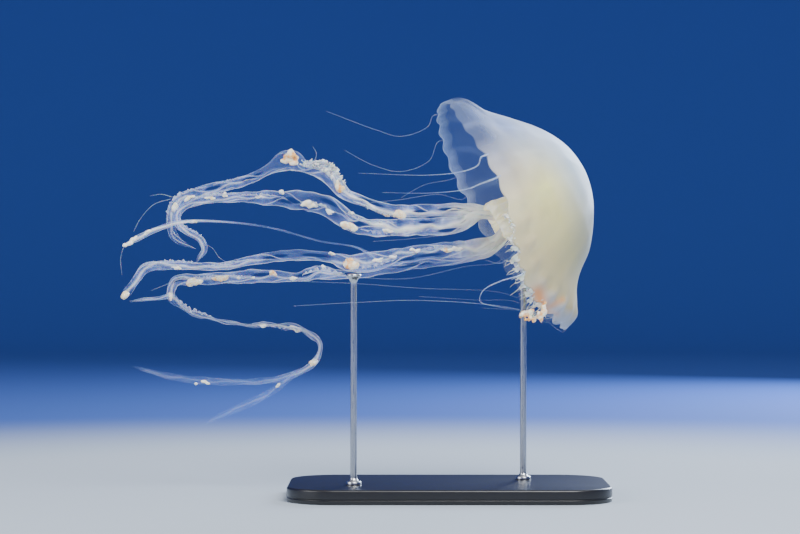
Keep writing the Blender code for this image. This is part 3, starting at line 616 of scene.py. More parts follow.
def film_middle(rows, number):
    """The middle surface of one frilled film, as points by distance along and place across."""
    at, run = stations(rows, FILM_STEP)
    tangents, sides = carried_frames(at[:, :3], (0, 0, 1))
    flats = np.cross(tangents, sides)
    ends = np.clip((run[-1] - run) / 7, 0.25, 1) ** 0.5  # the far end draws in
    width = at[:, 3:] * ends[:, None]
    across = np.linspace(-1, 1, FILM_ACROSS)[None, :]
    out = np.abs(across)
    run = run[:, None]
    # the side strands keep in step
    swing = 2 * math.pi * run / RUFFLE_LENGTH + (1.3 * number if number <= ARMS else 0.0)
    wander = 1.3 * np.sin(0.19 * run + 2.1 * number) + 0.9 * np.sin(0.083 * run + number)
    fine = 2 * math.pi * run / FINE_LENGTH + wander + 0.9 * across
    crimp = 2 * math.pi * run / CRIMP_LENGTH + 2 * wander
    lively = 0.55 + 0.45 * np.sin(0.11 * run + 1.7 * number + 1.5 * across)
    aside = BROAD_RUFFLE * width * out * np.where(across > 0, np.sin(swing), np.sin(swing + 2.0))
    aside = aside + FINE_RUFFLE * width * out**2 * lively * np.sin(fine)
    aside = aside + CRIMP * np.minimum(1, width / 3) * out**5 * lively * np.sin(crimp)
    reach = across * width * (1 + 0.05 * out**3 * np.sin(2 * math.pi * run / 13.0 + wander) - 0.05 * out**3)
    middle = at[:, None, :3] + reach[..., None] * sides[:, None] + aside[..., None] * flats[:, None]
    return middle, run[:, 0], width[:, 0], sides, flats


def closed_film(middle, half):
    """Front and back of a film about its middle surface, joined round the edge."""
    rows, columns = middle.shape[:2]
    normal = np.cross(np.gradient(middle, axis=0), np.gradient(middle, axis=1))
    normal /= np.maximum(np.linalg.norm(normal, axis=2, keepdims=True), 1e-9)
    front, back = middle + half[..., None] * normal, middle - half[..., None] * normal
    faces = grid_faces(rows, columns, False)
    index = np.arange(rows * columns).reshape(rows, columns)
    border = np.concatenate([index[:, 0], index[-1, 1:], index[-2::-1, -1], index[0, -2:0:-1]])
    after, count = np.roll(border, -1), rows * columns
    walls = np.column_stack([after, border, border + count, after + count])
    faces = np.vstack([faces, faces[:, ::-1] + count, walls])
    return np.vstack([front.reshape(-1, 3), back.reshape(-1, 3)]), faces


def gather(parts):
    """Several (points, faces, marks) as one."""
    start, points, faces = 0, [], []
    for some, quads, _ in parts:
        points.append(some)
        faces.append(quads + start)
        start += len(some)
    marks = {key: np.concatenate([part[2][key] for part in parts]) for key in parts[0][2]}
    return np.vstack(points), np.vstack(faces), marks


def on_film(middle, row, place):
    """Points of a film's middle surface at rows and places across, both of which may be fractions."""
    row = np.clip(np.asarray(row, float), 0, len(middle) - 1.001)
    column = (np.clip(np.asarray(place, float), -1, 1) + 1) / 2 * (FILM_ACROSS - 1.001)
    i, j = row.astype(int), column.astype(int)
    u, v = (row - i)[..., None], (column - j)[..., None]
    near = middle[i, j] * (1 - v) + middle[i, j + 1] * v
    far = middle[i + 1, j] * (1 - v) + middle[i + 1, j + 1] * v
    return near * (1 - u) + far * u


def film_part(middle, half, marks):
    """A closed film with its marks, which hold on both of its faces."""
    film, quads = closed_film(middle, half)
    spread = {key: np.tile(np.broadcast_to(values, half.shape).ravel(), 2) for key, values in marks.items()}
    return film, quads, spread


rng = np.random.default_rng(11)
films, strands, white_lines = [], {}, []  # a line is its points, radii in millimetres, brightness and cream
across = np.linspace(-1, 1, FILM_ACROSS)[None, :]
for number, (name, rows) in enumerate(STRANDS.items(), 1):
    middle, run, width, sides, flats = strands[name] = film_middle(rows, number)
    dress = np.array(DRESS[name], float)
    dress = [np.interp(run, dress[:, 0], column) for column in dress.T[1:]]
    upper_lip, lower_lip, milk, core_place, core_half = dress
    core_place = core_place + 0.2 * np.sin(0.23 * run + 2 * number) + 0.12 * np.sin(0.51 * run)
    core = np.exp(-(((across - core_place[:, None]) * width[:, None] / core_half[:, None]) ** 2))
    row = np.arange(len(run))
    ending = np.clip((run[-1] - run) / 8, 0.15, 1)
    for way, lip in ((1, upper_lip), (-1, lower_lip)):
        waver = 0.6 + 0.4 * np.sin(0.31 * run + 2 * number + way) * np.sin(0.13 * run + number)
        lip_line = middle[:, -1 if way > 0 else 0]
        white_lines.append((lip_line, (0.03 + 0.2 * lip * waver) * ending, 0.06 + 0.8 * lip, 0.0))
    core_line = on_film(middle, row, core_place)
    knotty = 0.3 + 0.14 * np.sin(0.31 * run + 3 * number) * np.sin(0.12 * run)
    knotty = knotty + 0.07 * np.sin(0.9 * run + 5 * np.sin(0.2 * run))
    thickness = core_half * knotty * np.minimum(1, 0.25 + width / 4) * ending
    white_lines.append((core_line, thickness, np.minimum(0.95, 1.4 * milk**1.7), 0.5))
    # spurs cross each arm from its core to a lip
    spurs = np.zeros(core.shape)
    for start in np.arange(5, run[-1] - 10, SPUR_EVERY) if name.startswith("arm") else ():
        start = start + rng.uniform(-3, 3)
        reach = SPUR_REACH * rng.uniform(0.6, 1.6)
        way = rng.choice((-1.0, 1.0))
        share = (run - start) / reach
        on = (share > 0) & (share < 1)
        place = core_place + (way - core_place) * smooth_step(0, 1, share)
        spur = np.exp(-(((across - place[:, None]) * width[:, None] / 0.5) ** 2))
        spurs = np.maximum(spurs, spur * on[:, None])
        if on.sum() > 3 and start < FAINT_FROM:
            radii = 0.04 + 0.2 * np.sin(math.pi * share[on]) * milk[on] ** 0.5
            white_lines.append((on_film(middle, row[on], place[on]), radii, 0.6, 0.2))
    gone = np.zeros(core.shape)
    for along, place_across, half_length, half_across in HOLES.get(name, ()):
        off = ((run[:, None] - along) / half_length) ** 2 + ((across - place_across) / half_across) ** 2
        gone = np.maximum(gone, 1 - smooth_step(0.7, 1.1, np.sqrt(off)))
    fading = np.clip(1.3 - run / CREAM_REACH, 0.04 * (run < TIP_FROM), 0.9)
    films.append(film_part(middle, 0.12 + 0.4 * core * np.minimum(1, width[:, None] / 3), {
        "lip": np.where(across > 0, upper_lip[:, None], lower_lip[:, None]) * np.abs(across) ** 8,
        "core": np.maximum(core * (0.03 + 1.27 * milk[:, None]), 0.6 * spurs * np.sqrt(milk)[:, None]),
        "open": np.maximum(gone * (1 - 0.7 * spurs), (1 - np.clip((run[-1] - run) / 10, 0, 1))[:, None]),
        "milk": milk[:, None],
        "cream": fading[:, None] if number <= ARMS else 0.0,
        "along": run[:, None],
        "aside": across * width[:, None],
    }))

for points in WISPS:
    path, run = stations([(*point, 0) for point in points], 0.8)
    white_lines.append((path[:, :3], 0.24 - 0.12 * run / run[-1], 0.16, 0.0))

for number, (name, start, stop, place, way, reach, density) in enumerate(CURTAINS, 1):
    middle, run, width, sides, flats = strands[name]
    at = np.arange(start, stop, CURTAIN_STEP)
    row = at / FILM_STEP
    near = np.clip(np.round(row).astype(int), 0, len(run) - 1)
    share = (at - start) / (stop - start)
    ragged = 0.7 + 0.2 * np.sin(1.9 * at + number) * np.sin(0.7 * at) + 0.15 * np.sin(4.3 * at + 2 * number)
    step = reach * np.sin(math.pi * np.clip(share, 0.01, 0.99)) ** 0.6 * ragged / (CURTAIN_ACROSS - 1)
    lean = 1.2 * np.sin(2 * math.pi * at / 3.3 + number) + 0.6 * np.sin(2 * math.pi * at / 5.7 + 2 * number)
    points = [on_film(middle, row, np.full(len(row), place))]
    for j in range(1, CURTAIN_ACROSS):
        tilt = (lean * (j / (CURTAIN_ACROSS - 1)) ** 0.6 + 0.5 * math.sin(number))[:, None]
        onward = way * np.cos(tilt) * sides[near] + np.sin(tilt) * flats[near]
        points.append(points[-1] + step[:, None] * onward)
    out = np.linspace(0, 1, CURTAIN_ACROSS)[None, :]
    films.append(film_part(np.stack(points, axis=1), np.full((len(at), CURTAIN_ACROSS), 0.1), {
        "lip": (0.4 + 0.5 * density) * out**4,
        "core": density * (0.25 + 0.5 * out),
        "open": 0.0,
        "milk": 0.4 + 0.6 * density,
        "cream": 0.7 * density,
        "along": at[:, None] * 3,
        "aside": out * reach,
    }))

# Film of the arms: glass-clear silicone skin with milky streaks; edges and cores are whiter.
film_look, tree, shader, place = start_material(
    "clear_arm_film", Roughness=0.32, IOR=1.36, Subsurface_Weight=0.3, Subsurface_Scale=0.002, Coat_Weight=0.3,
    Coat_Roughness=0.12)
mark = {key: add(tree, "ShaderNodeAttribute", out="Fac", attribute_name=key) for key in films[0][2]}
PATCHES_PER_METRE = 130.0  # milky patches 7 or 8 mm across
patch = add(tree, "ShaderNodeTexNoise", {
    "Vector": place, "Scale": PATCHES_PER_METRE, "Detail": 5.0, "Roughness": 0.6})
patchy = add(tree, "ShaderNodeMapRange", (patch, 0.38, 0.66))
unrolled = add(tree, "ShaderNodeCombineXYZ", (mark["along"], mark["aside"]))
STREAKS = (0.1, 1.3, 1.0)  # per millimetre along and across: 10 mm long and under 1 mm wide
streak = add(tree, "ShaderNodeMapping", {"Vector": unrolled, "Scale": STREAKS})
streak = add(tree, "ShaderNodeTexNoise", {"Vector": streak, "Scale": 1.0, "Detail": 3.0})
streaky = add(tree, "ShaderNodeMapRange", (streak, 0.5, 0.68))
milky = add(tree, "ShaderNodeMath", (mark["milk"], patchy), operation="MULTIPLY")
streaked = add(tree, "ShaderNodeMath", (streaky, milky), operation="MULTIPLY")
lines = add(tree, "ShaderNodeMath", (mark["core"], mark["lip"]), operation="MAXIMUM")
whiter = add(tree, "ShaderNodeMath", (lines, streaked), operation="MAXIMUM", use_clamp=True)
tint = add(tree, "ShaderNodeMix", {0: whiter, 6: "#88adf4", 7: "#f5f4ee"}, out=2, data_type="RGBA")
tint = add(tree, "ShaderNodeMix", {0: mark["cream"], 6: tint, 7: "#fbf6e4"}, out=2, data_type="RGBA")
# cover: a little everywhere, and more by each of these
cover = 0.045
for source, share in ((milky, 0.28), (streaked, 0.35), (lines, 0.55), (mark["cream"], 0.6)):
    cover = add(tree, "ShaderNodeMath", (source, share, cover), operation="MULTIPLY_ADD", use_clamp=True)
whole = add(tree, "ShaderNodeMath", (1.0, mark["open"]), operation="SUBTRACT")
cover = add(tree, "ShaderNodeMath", (cover, whole), operation="MULTIPLY")
creases = add(tree, "ShaderNodeBump", {"Height": patch, "Strength": 0.4, "Distance": 0.0006})
creases = add(tree, "ShaderNodeBump", {
    "Height": streak, "Strength": 0.5, "Distance": 0.0005, "Normal": creases})
wire(shader, Base_Color=tint, Alpha=cover, Normal=creases)

arm_nodes = [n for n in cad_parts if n.startswith("oral_arm_")]
arm_points, arm_faces, arm_marks = gather(films)
arms = as_piece("mouth_arms_skin", arm_points, arm_faces, film_look, arm_marks)
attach(arms, "root")
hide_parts(*arm_nodes)

# ---- Threads of the arms --------------------------------------------------------------------
# Each film is bordered by two fine lips, carried by a wandering core thread and crossed by spurs,
# and a few wisps trail off. All are dense white flesh, which shows as the bright lines of the arm.
THREAD_SIDES = 8


def start_group(name, **sizes):
    """A geometry node group that takes a geometry and named sizes, with its inputs."""
    group = bpy.data.node_groups.new(name, "GeometryNodeTree")
    group.interface.new_socket("Start", in_out="INPUT", socket_type="NodeSocketGeometry")
    for key, kind in sizes.items():
        group.interface.new_socket(key, in_out="INPUT", socket_type="NodeSocket" + kind)
    group.interface.new_socket("Result", in_out="OUTPUT", socket_type="NodeSocketGeometry")
    return group, add(group, "NodeGroupInput").node.outputs


def end_group(group, geometry, look):
    """End a group with smooth, real faces in one material."""
    smooth = add(group, "GeometryNodeSetShadeSmooth", (geometry,))
    real = add(group, "GeometryNodeRealizeInstances", (smooth,))
    looked = add(group, "GeometryNodeSetMaterial", {"Geometry": real, "Material": look})
    add(group, "NodeGroupOutput", (looked,))


def grown(name, points, marks, edges, group, **sizes):
    """A plain mesh piece that a geometry node group grows from marked points or lines."""
    piece = as_piece(name, points, [], None, marks, edges)
    growth = piece.modifiers.new(group.name, "NODES")
    growth.node_group = group
    for item in group.interface.items_tree:
        if item.name in sizes:
            growth[item.identifier] = sizes[item.name]
    graph = bpy.context.evaluated_depsgraph_get()
    made = bpy.data.meshes.new_from_object(
        piece.evaluated_get(graph), preserve_all_data_layers=True, depsgraph=graph)
    piece.modifiers.clear()
    piece.data = made
    return piece


def threads(name, lines, look):
    """Round threads of the marked thickness along every line of points."""
    group, given = start_group("round_threads", Thickness="Float", Sides="Int")
    thick = add(group, "GeometryNodeInputNamedAttribute", {"Name": "thick"}, data_type="FLOAT")
    scaled = add(group, "ShaderNodeMath", (thick, given["Thickness"]), operation="MULTIPLY")
    curves = add(group, "GeometryNodeMeshToCurve", (given["Start"],))
    curves = add(group, "GeometryNodeSetCurveRadius", {"Curve": curves, "Radius": scaled})
    ring = add(group, "GeometryNodeCurvePrimitiveCircle", {"Resolution": given["Sides"], "Radius": 1.0})
    end_group(group, add(group, "GeometryNodeCurveToMesh", {
        "Curve": curves, "Profile Curve": ring, "Scale": scaled, "Fill Caps": True}), look)
    starts = np.cumsum([0] + [len(line[0]) for line in lines])
    edges = [(i, i + 1) for a, b in zip(starts, starts[1:]) for i in range(a, b - 1)]
    marks = {
        key: np.concatenate([np.broadcast_to(line[column], len(line[0])) for line in lines]) * unit
        for column, key, unit in ((1, "thick", MM), (2, "bright", 1.0), (3, "cream", 1.0))
    }
    points = np.vstack([line[0] for line in lines])
    return grown(name, points, marks, edges, group, Thickness=1.0, Sides=THREAD_SIDES)


# Lips and cores: the same silicone cast solid, clear where it is faint and white with milk where bright.
lip_look, tree, shader, place = start_material(
    "white_lip_silicone", Roughness=0.35, IOR=1.38, Subsurface_Weight=0.4, Subsurface_Scale=0.002,
    Coat_Weight=0.3, Coat_Roughness=0.12)
bright, cream = (add(tree, "ShaderNodeAttribute", out="Fac", attribute_name=key) for key in ("bright", "cream"))
FLECKS_PER_METRE = 200.0  # flecks about 5 mm long
fleck = add(tree, "ShaderNodeTexNoise", {"Vector": place, "Scale": FLECKS_PER_METRE, "Detail": 3.0})
whiter = add(tree, "ShaderNodeMapRange", (fleck, 0.35, 0.65))
tint = add(tree, "ShaderNodeMix", {0: whiter, 6: "#cfdef6", 7: "#f6f6f2"}, out=2, data_type="RGBA")
tint = add(tree, "ShaderNodeMix", {0: cream, 6: tint, 7: "#fff3d4"}, out=2, data_type="RGBA")
denser = add(tree, "ShaderNodeMapRange", (fleck, 0.3, 0.6, 0.7, 1.15))
cover = add(tree, "ShaderNodeMath", (bright, denser), operation="MULTIPLY", use_clamp=True)
flecked = add(tree, "ShaderNodeBump", {"Height": fleck, "Strength": 0.3, "Distance": 0.0004})
wire(shader, Base_Color=tint, Alpha=cover, Normal=flecked)

lips = threads("arm_lips_and_cores", white_lines, lip_look)
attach(lips, "root")
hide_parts(*arm_nodes)

# ---- Gathered frill -------------------------------------------------------------------------
# Soft lumps where the frill of an arm is bunched up: cream silicone, the largest ones glowing
# orange within, each melted together from a few eggs laid on the film.
# Rows: distance along, place across, half length, half width, warmth.
LUMPS = {
    "arm_1": (
        (57, -0.6, 3.4, 2.7, 0.7), (64, -1.1, 2.4, 1.1, 0.8), (94, 0.16, 3, 2.2, 0.8),
        (101, 0.2, 1.6, 1.3, 0.1), (106, 0.2, 1.8, 1.4, 0.1), (111, 0.6, 1.4, 1.1, 0.1),
        (126, -0.15, 4.2, 2.3, 0.7), (126, 0.15, 3.2, 2.6, 1.2), (126, 0.45, 2.2, 2.5, 1.2),
        (126, 0.72, 1.4, 2.0, 1.0), (126, 0.95, 0.6, 1.3, 0.7), (186, -0.3, 2.9, 1.6, 0.4),
        (196, -0.2, 2.4, 2, 0.4),
    ),
    "arm_2": (
        (63, -0.36, 3, 1.6, 0.4), (84, -0.43, 4.2, 2.9, 0.5), (86, 0.9, 1.4, 1.3, 0.2),
        (97, -0.37, 2.6, 1.6, 0.0), (110, -0.26, 4.4, 2.3, 0.3), (126, 1.0, 1.4, 1.4, 0.0),
        (138, 0.04, 2.6, 1.4, 0.1), (157, 0.7, 1.4, 1.6, 0.3), (165, 0.2, 3.2, 1.2, 0.4),
    ),
    "arm_3": (
        (32, 0.11, 3, 1.4, 0.2), (38, 0.0, 3.2, 1.6, 0.7), (54, 0.38, 1.2, 1.3, 0.2),
        (57, 0.56, 1.2, 1.3, 0.2), (68, 0.08, 2.7, 1.1, 0.1), (76, 0.05, 3.2, 1.5, 0.2),
        (91, 0.05, 3.8, 2.9, 1.0), (103, 0.9, 2.2, 1.4, 0.3), (190, -0.6, 3.2, 1.3, 0.4),
        (226, 0.0, 1.5, 2.6, 0.5),
    ),
    "arm_4": (
        (110, 0.9, 1.6, 1.1, 0.0), (127, -0.22, 2.4, 1.3, 0.4), (138, 0.42, 1.6, 1.7, 0.8),
        (149, -0.14, 1.1, 1.1, 0.2), (157, -0.12, 1.2, 1.1, 0.1), (167, 0.04, 4.2, 2.0, 0.8),
        (181, -0.37, 4.3, 2.5, 0.6), (201, 0.3, 1.8, 1.9, 0.4), (258, 0.2, 2.6, 1.3, 0.0),
        (277, 0.5, 3.6, 1.8, 0.1), (306, 0.28, 2.3, 2.0, 0.4), (370, -0.5, 2.4, 1.3, 0.2),
        (375, -0.8, 1.0, 0.9, 0.0),
    ),
    "filament": (
        (104, -0.4, 2.6, 1.1, 0.4), (130, 0.4, 2.6, 1.4, 0.1), (138, 0.3, 2.0, 1.5, 0.2),
        (141, 0.0, 1.9, 1.7, 0.2), (144, -0.5, 1.6, 1.4, 0.2),
    ),
    "fork": ((12, 0.2, 1.9, 1.4, 0.3),),
}
LUMP_VOXEL = 0.32 * MM
LUMP_BAND = 0.8 * MM
LUMP_WRINKLE = 0.9 * MM
WRINKLES_PER_METRE = 420.0  # a wrinkle every 2 or 3 mm
LUMP_GROWTH = 1.4  # eggs are laid this much larger, because they sink into each other
LUMP_EGGS = 6


def lumps(name, eggs, look):
    """Eggs melted together: each egg is its centre, half sizes, long axis and warmth."""
    group, given = start_group("melted_lumps", **{"Voxel Size": "Float", "Wrinkle": "Float"})
    points = add(group, "GeometryNodeMeshToPoints", (given["Start"],))
    size, lie, warm = (
        add(group, "GeometryNodeInputNamedAttribute", {"Name": key}, data_type=kind)
        for key, kind in (("size", "FLOAT_VECTOR"), ("lie", "FLOAT_VECTOR"), ("warmth", "FLOAT"))
    )
    egg = add(group, "GeometryNodeMeshIcoSphere", {"Radius": 1.0, "Subdivisions": 3})
    laid = add(group, "GeometryNodeInstanceOnPoints", {
        "Points": points, "Instance": egg, "Rotation": lie, "Scale": size})
    laid = add(group, "GeometryNodeRealizeInstances", (laid,))
    melted = add(group, "GeometryNodeMeshToVolume", {
        "Mesh": laid, "Voxel Size": given["Voxel Size"], "Interior Band Width": LUMP_BAND,
    }, resolution_mode="VOXEL_SIZE")
    melted = add(group, "GeometryNodeVolumeToMesh", {"Volume": melted, "Threshold": 0.1, "Adaptivity": 0.0})
    where = add(group, "GeometryNodeInputPosition")
    softer = add(group, "GeometryNodeBlurAttribute", {0: where, "Iterations": 5}, data_type="FLOAT_VECTOR")
    melted = add(group, "GeometryNodeSetPosition", {"Geometry": melted, "Position": softer})
    depth = add(group, "ShaderNodeTexNoise", {"Vector": where, "Scale": WRINKLES_PER_METRE, "Detail": 2.0})
    depth = add(group, "ShaderNodeMath", (depth, 0.5), operation="SUBTRACT")
    depth = add(group, "ShaderNodeMath", (depth, given["Wrinkle"]), operation="MULTIPLY")
    normal = add(group, "GeometryNodeInputNormal")
    push = add(group, "ShaderNodeVectorMath", {0: normal, "Scale": depth}, operation="SCALE")
    melted = add(group, "GeometryNodeSetPosition", {"Geometry": melted, "Offset": push})
    # each point of the skin is as warm as the egg that lies nearest to it
    nearest = {"Geometry": points, "Sample Position": where}
    nearest = add(group, "GeometryNodeSampleNearest", nearest, domain="POINT")
    warmth = {"Geometry": points, "Value": warm, "Index": nearest}
    warmth = add(group, "GeometryNodeSampleIndex", warmth, data_type="FLOAT", domain="POINT")
    warmed = {"Geometry": melted, "Name": "warm", "Value": warmth}
    warmed = add(group, "GeometryNodeStoreNamedAttribute", warmed, data_type="FLOAT", domain="POINT")
    end_group(group, warmed, look)
    centres, sizes, axes, warmths = (np.array(column, float) for column in zip(*eggs))
    tilt, bearing = -np.arcsin(np.clip(axes[:, 2], -1, 1)), np.arctan2(axes[:, 1], axes[:, 0])
    marks = {"size": sizes * MM, "lie": np.column_stack([0 * tilt, tilt, bearing]), "warmth": warmths}
    return grown(name, centres, marks, [], group, **{"Voxel Size": LUMP_VOXEL, "Wrinkle": LUMP_WRINKLE})


# Lump flesh: opaque cream silicone with orange stirred into the largest lumps. They have a little
# painted glow of their own, which stands for the light that gathers in them.
lump_look, tree, shader, place = start_material(
    "cream_and_orange_lump", Roughness=0.35, IOR=1.4, Subsurface_Weight=0.45, Subsurface_Scale=0.002,
    Subsurface_Radius=(1.0, 0.6, 0.3), Coat_Weight=0.4, Coat_Roughness=0.12, Emission_Strength=0.14)
warm = add(tree, "ShaderNodeAttribute", out="Fac", attribute_name="warm")
STIRS_PER_METRE = 300.0  # swirls about 3 mm across
stir = add(tree, "ShaderNodeTexNoise", {"Vector": place, "Scale": STIRS_PER_METRE, "Detail": 3.0})
stirred = add(tree, "ShaderNodeMapRange", (stir, 0.35, 0.62))
share = add(tree, "ShaderNodeMath", (warm, stirred), operation="MULTIPLY")
tone = add(tree, "ShaderNodeValToRGB", (share,), stops=((0.0, "#fff8ea"), (0.8, "#f7b56c"), (0.35, "#fde8c4")))
dimples = add(tree, "ShaderNodeBump", {"Height": stir, "Strength": 0.35, "Distance": 0.0005})
wire(shader, Base_Color=tone, Emission_Color=tone, Normal=dimples)

rng = np.random.default_rng(7)
eggs = []
for name, rows in LUMPS.items():
    middle, run, width, sides, flats = strands[name]
    for along, place_across, half_length, half_width, warmth in rows:
        centre = on_film(middle, along / FILM_STEP, place_across)
        at = int(np.clip(round(along / FILM_STEP), 1, len(run) - 2))
        tangent = middle[at + 1, FILM_ACROSS // 2] - middle[at - 1, FILM_ACROSS // 2]
        tangent /= np.linalg.norm(tangent)
        stretch = min(1.9, 0.8 + 0.5 * half_length / half_width)
        for off in np.arange(LUMP_EGGS) - (LUMP_EGGS - 1) / 2:
            step = rng.uniform(-1, 1, 3)
            spot = centre + tangent * half_length * 0.3 * off
            spot = spot + sides[at] * half_width * 0.5 * step[0] + flats[at] * 0.6 * step[1]
            size = LUMP_GROWTH * half_width * (0.55 + 0.2 * step[2]) * (1 - 0.13 * abs(off))
            lie = tangent + 0.5 * rng.uniform(-1, 1, 3)
            lie /= np.linalg.norm(lie)
            eggs.append((spot, (size * stretch, size * 0.65, size * 0.95), lie, warmth * rng.uniform(0.5, 1.2)))
frill_lumps = lumps("gathered_frill_lumps", eggs, lump_look)
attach(frill_lumps, "root")
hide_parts(*arm_nodes)

# ---- Margin tuft and margin frills ----------------------------------------------------------
# A drawn-up bunch of peach frill hangs from the front lower rim, and a row of short pale frills
# curls in off the rim above it. They are lumps, crimped films and fine curls of the same flesh.
TUFT = ((51.5, -44, 102, 2), (47.5, -46, 100.5, 3.6), (43, -47, 100.5, 3.4), (39.5, -47, 102, 1.4))
TUFT_CLEFT = 12
TUFT_EGGS = 3
TUFT_CURLS = 14
FRILL_CLEFTS = np.arange(7.5, 12.3, 0.22)
FRILL_ROWS = 40
FRILL_COLUMNS = 15
FRILL_LENGTH = 5.0
FRILL_CURL = 2.4
FRILL_CURLS = 2
FRILL_WIDTH = 2.1
FRILL_TURN = math.radians(125.0)
FRILL_GROWN = (1.15, 0.7, 0.95, 0.55)  # long and short frills take turns
FRILL_CREAM = (1.0, 0.6, 0.9, 0.75)
FRILL_UPPER = 8.6  # the frills before this cleft are shorter and all cream


def leaving_rim(cleft):
    """The middle of the rim at a cleft, and the direction in which the rim ends there."""
    a = 2 * math.pi * (cleft + 0.5) / LAPPETS
    rim_point, on_wall = (
        (bell_point(*BELL_OUTER[i], a) + bell_point(*BELL_INNER[i], a))[0] / 2 for i in (-1, -2)
    )
    return rim_point, (rim_point - on_wall) / np.linalg.norm(rim_point - on_wall)


def curl(root, heading, reach, swell, winds, radius):
    """A fine thread that winds out from a root and thins to its tip."""
    heading = heading / np.linalg.norm(heading)
    side = np.cross(heading, (0.3, 1.0, 0.2))
    side /= np.linalg.norm(side)
    share = np.linspace(0, 1, 22)
    wind = 2 * math.pi * winds * share**0.8
    ring = np.cos(wind)[:, None] * side + np.sin(wind)[:, None] * np.cross(heading, side)
    line = root + heading * reach * share[:, None] + swell * share[:, None] * ring
    return line, radius * (1 - 0.7 * share), 0.75, 0.85


tuft_root, _ = leaving_rim(TUFT_CLEFT)
tuft_rows, _ = stations([(*tuft_root, 1.2), *TUFT], 1.2)
eggs, curls = [], []
for x, y, z, w in tuft_rows:
    for _ in range(TUFT_EGGS):
        step = rng.uniform(-1, 1, 3)
        size = 0.85 + 0.45 * rng.uniform()
        lie = rng.uniform(-1, 1, 3)
        spot = np.array((x, y, z)) + step * (0.7 * w, 0.6, 0.8 * w)
        warmth = 0.5 + 0.7 * rng.uniform()
        eggs.append((spot, (size * 1.5, size * 0.7, size), lie / np.linalg.norm(lie), warmth))
for _ in range(TUFT_CURLS):
    x, y, z, w = tuft_rows[rng.integers(1, len(tuft_rows))]
    heading = rng.uniform(-1, 1, 3) * (1, 0.35, 1)
    curls.append(curl(np.array((x, y, z)), heading, w * rng.uniform(1.0, 1.4), 0.9, 1.3, 0.3))
tuft = lumps("margin_tuft_skin", eggs, lump_look)
tuft_curls = threads("margin_tuft_curls", curls, lip_look)
for piece in (tuft, tuft_curls):
    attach(piece, "root")
    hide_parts("margin_tuft")

frills, curls = [], []
share = np.linspace(-0.12, 1, FRILL_ROWS)[:, None]
across = np.linspace(-1, 1, FRILL_COLUMNS)[None, :]
for number, cleft in enumerate(FRILL_CLEFTS):
    rim_point, leave = leaving_rim(cleft)
    inward = (BELL_CENTRE - rim_point) / np.linalg.norm(BELL_CENTRE - rim_point)
    hinge = np.cross(leave, inward)
    grown_by = FRILL_GROWN[number % 4] * (0.7 if cleft < FRILL_UPPER else 1.0)
    turn = FRILL_TURN * (0.3 + 0.35 * grown_by) * share
    sway = 0.9 * np.sin(2.6 * math.pi * share + number) * share
    arc = FRILL_LENGTH * np.sin(turn) * leave + FRILL_CURL * (1 - np.cos(turn)) * inward
    middle_line = rim_point + grown_by * arc
    middle_line = middle_line + sway * hinge
    half_width = FRILL_WIDTH * (0.12 + 0.75 * grown_by * np.cos(math.pi / 2 * np.clip(share, 0, 1) ** 1.4))
    ruffle = 0.55 * np.abs(across) ** 1.3 * np.sin(9 * share + 1.5 * across + number)
    ruffle = ruffle + 0.12 * np.abs(across) ** 3 * np.sin(27 * share + number)
    facing = np.cos(turn) * inward - np.sin(turn) * leave
    frill = middle_line[:, None] + (across * half_width)[..., None] * hinge
    frill = frill + ruffle[..., None] * facing[:, None]
    frills.append(film_part(frill, np.full(frill.shape[:2], 0.14), {
        "lip": 0.3 * np.abs(across) ** 4, "core": 0.12, "open": 0.0, "milk": 0.9,
        "cream": 1.0 if cleft < FRILL_UPPER else FRILL_CREAM[number % 4],
        "along": 5 * share, "aside": 2 * across,
    }))
    for _ in range(FRILL_CURLS):
        root = middle_line[rng.integers(6, 38)] + hinge * rng.uniform(-1.5, 1.5)
        heading = 1.2 * leave + inward * rng.uniform(-0.3, 1.0) + hinge * rng.uniform(-0.6, 0.6)
        reach, swell, winds, radius = rng.uniform((3, 0.4, 0.3, 0.14), (7.5, 1.2, 0.9, 0.24))
        curls.append(curl(root, heading, reach, swell, winds, radius))
frill_points, frill_faces, frill_marks = gather(frills)
frill_skin = as_piece("margin_frill_films", frill_points, frill_faces, film_look, frill_marks)
frill_curls = threads("margin_frill_curls", curls, lip_look)
for piece in (frill_skin, frill_curls):
    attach(piece, "root")
    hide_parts(*[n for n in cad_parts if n.startswith("margin_frill_")])

# ---- Tentacles ------------------------------------------------------------------------------
# Fourteen fine tentacles, each from a cleft between two lappets of the margin: elastic clear
# threads beaded with stinging cells, drawn thinner towards the tip.
TENTACLES = {
    30: ((-9, 19, 205), (-24, 22, 199.5), (-38, 26, 203.3), (-66, 30, 214)),
    28: ((-8, 44, 187), (-24, 42, 180.6), (-40, 41, 184.2), (-56, 40, 192.5)),
    26: ((-11, 53, 173.3), (-24, 47, 166)),
    25: ((-3, 56, 168), (-25, 50, 164.8), (-42, 44, 163)),
    24: ((10, 60, 147), (-15, 52, 143), (-40, 44, 141)),
    22: ((14, 58, 127), (-20, 50, 120), (-58, 40, 121)),
    20: ((30, 48, 112.5), (-14, 42, 114.5), (-47, 36, 117), (-82, 30, 118.5)),
    18: ((40, 27, 107), (18, 24, 108), (-14, 22, 110)),
    16: ((50, 5, 101), (36, 2, 103), (20, 0, 104)),
    13: ((33, -42, 105), (-14, -36, 108.6), (-47, -32, 107.5), (-82, -30, 105.5)),
    10: ((28, -61, 119), (19, -60, 114), (17.5, -58, 108.5), (27, -55, 105.5), (39, -53, 104)),
    9: ((28, -63, 128.5), (20, -62, 130.2)),
    6: ((17.3, -63, 170.1), (11.1, -60, 167.6), (-8.9, -55, 165.6), (-34, -50, 166)),
    5: ((16.4, -61, 180.2), (9.1, -58, 177.1), (-8.9, -52, 175.2), (-47, -42, 176.6)),
}
TENTACLE_BASE = 0.24
TENTACLE_TIP = 0.13
TENTACLE_COVER = 0.14
BEAD_LENGTH = 2.2
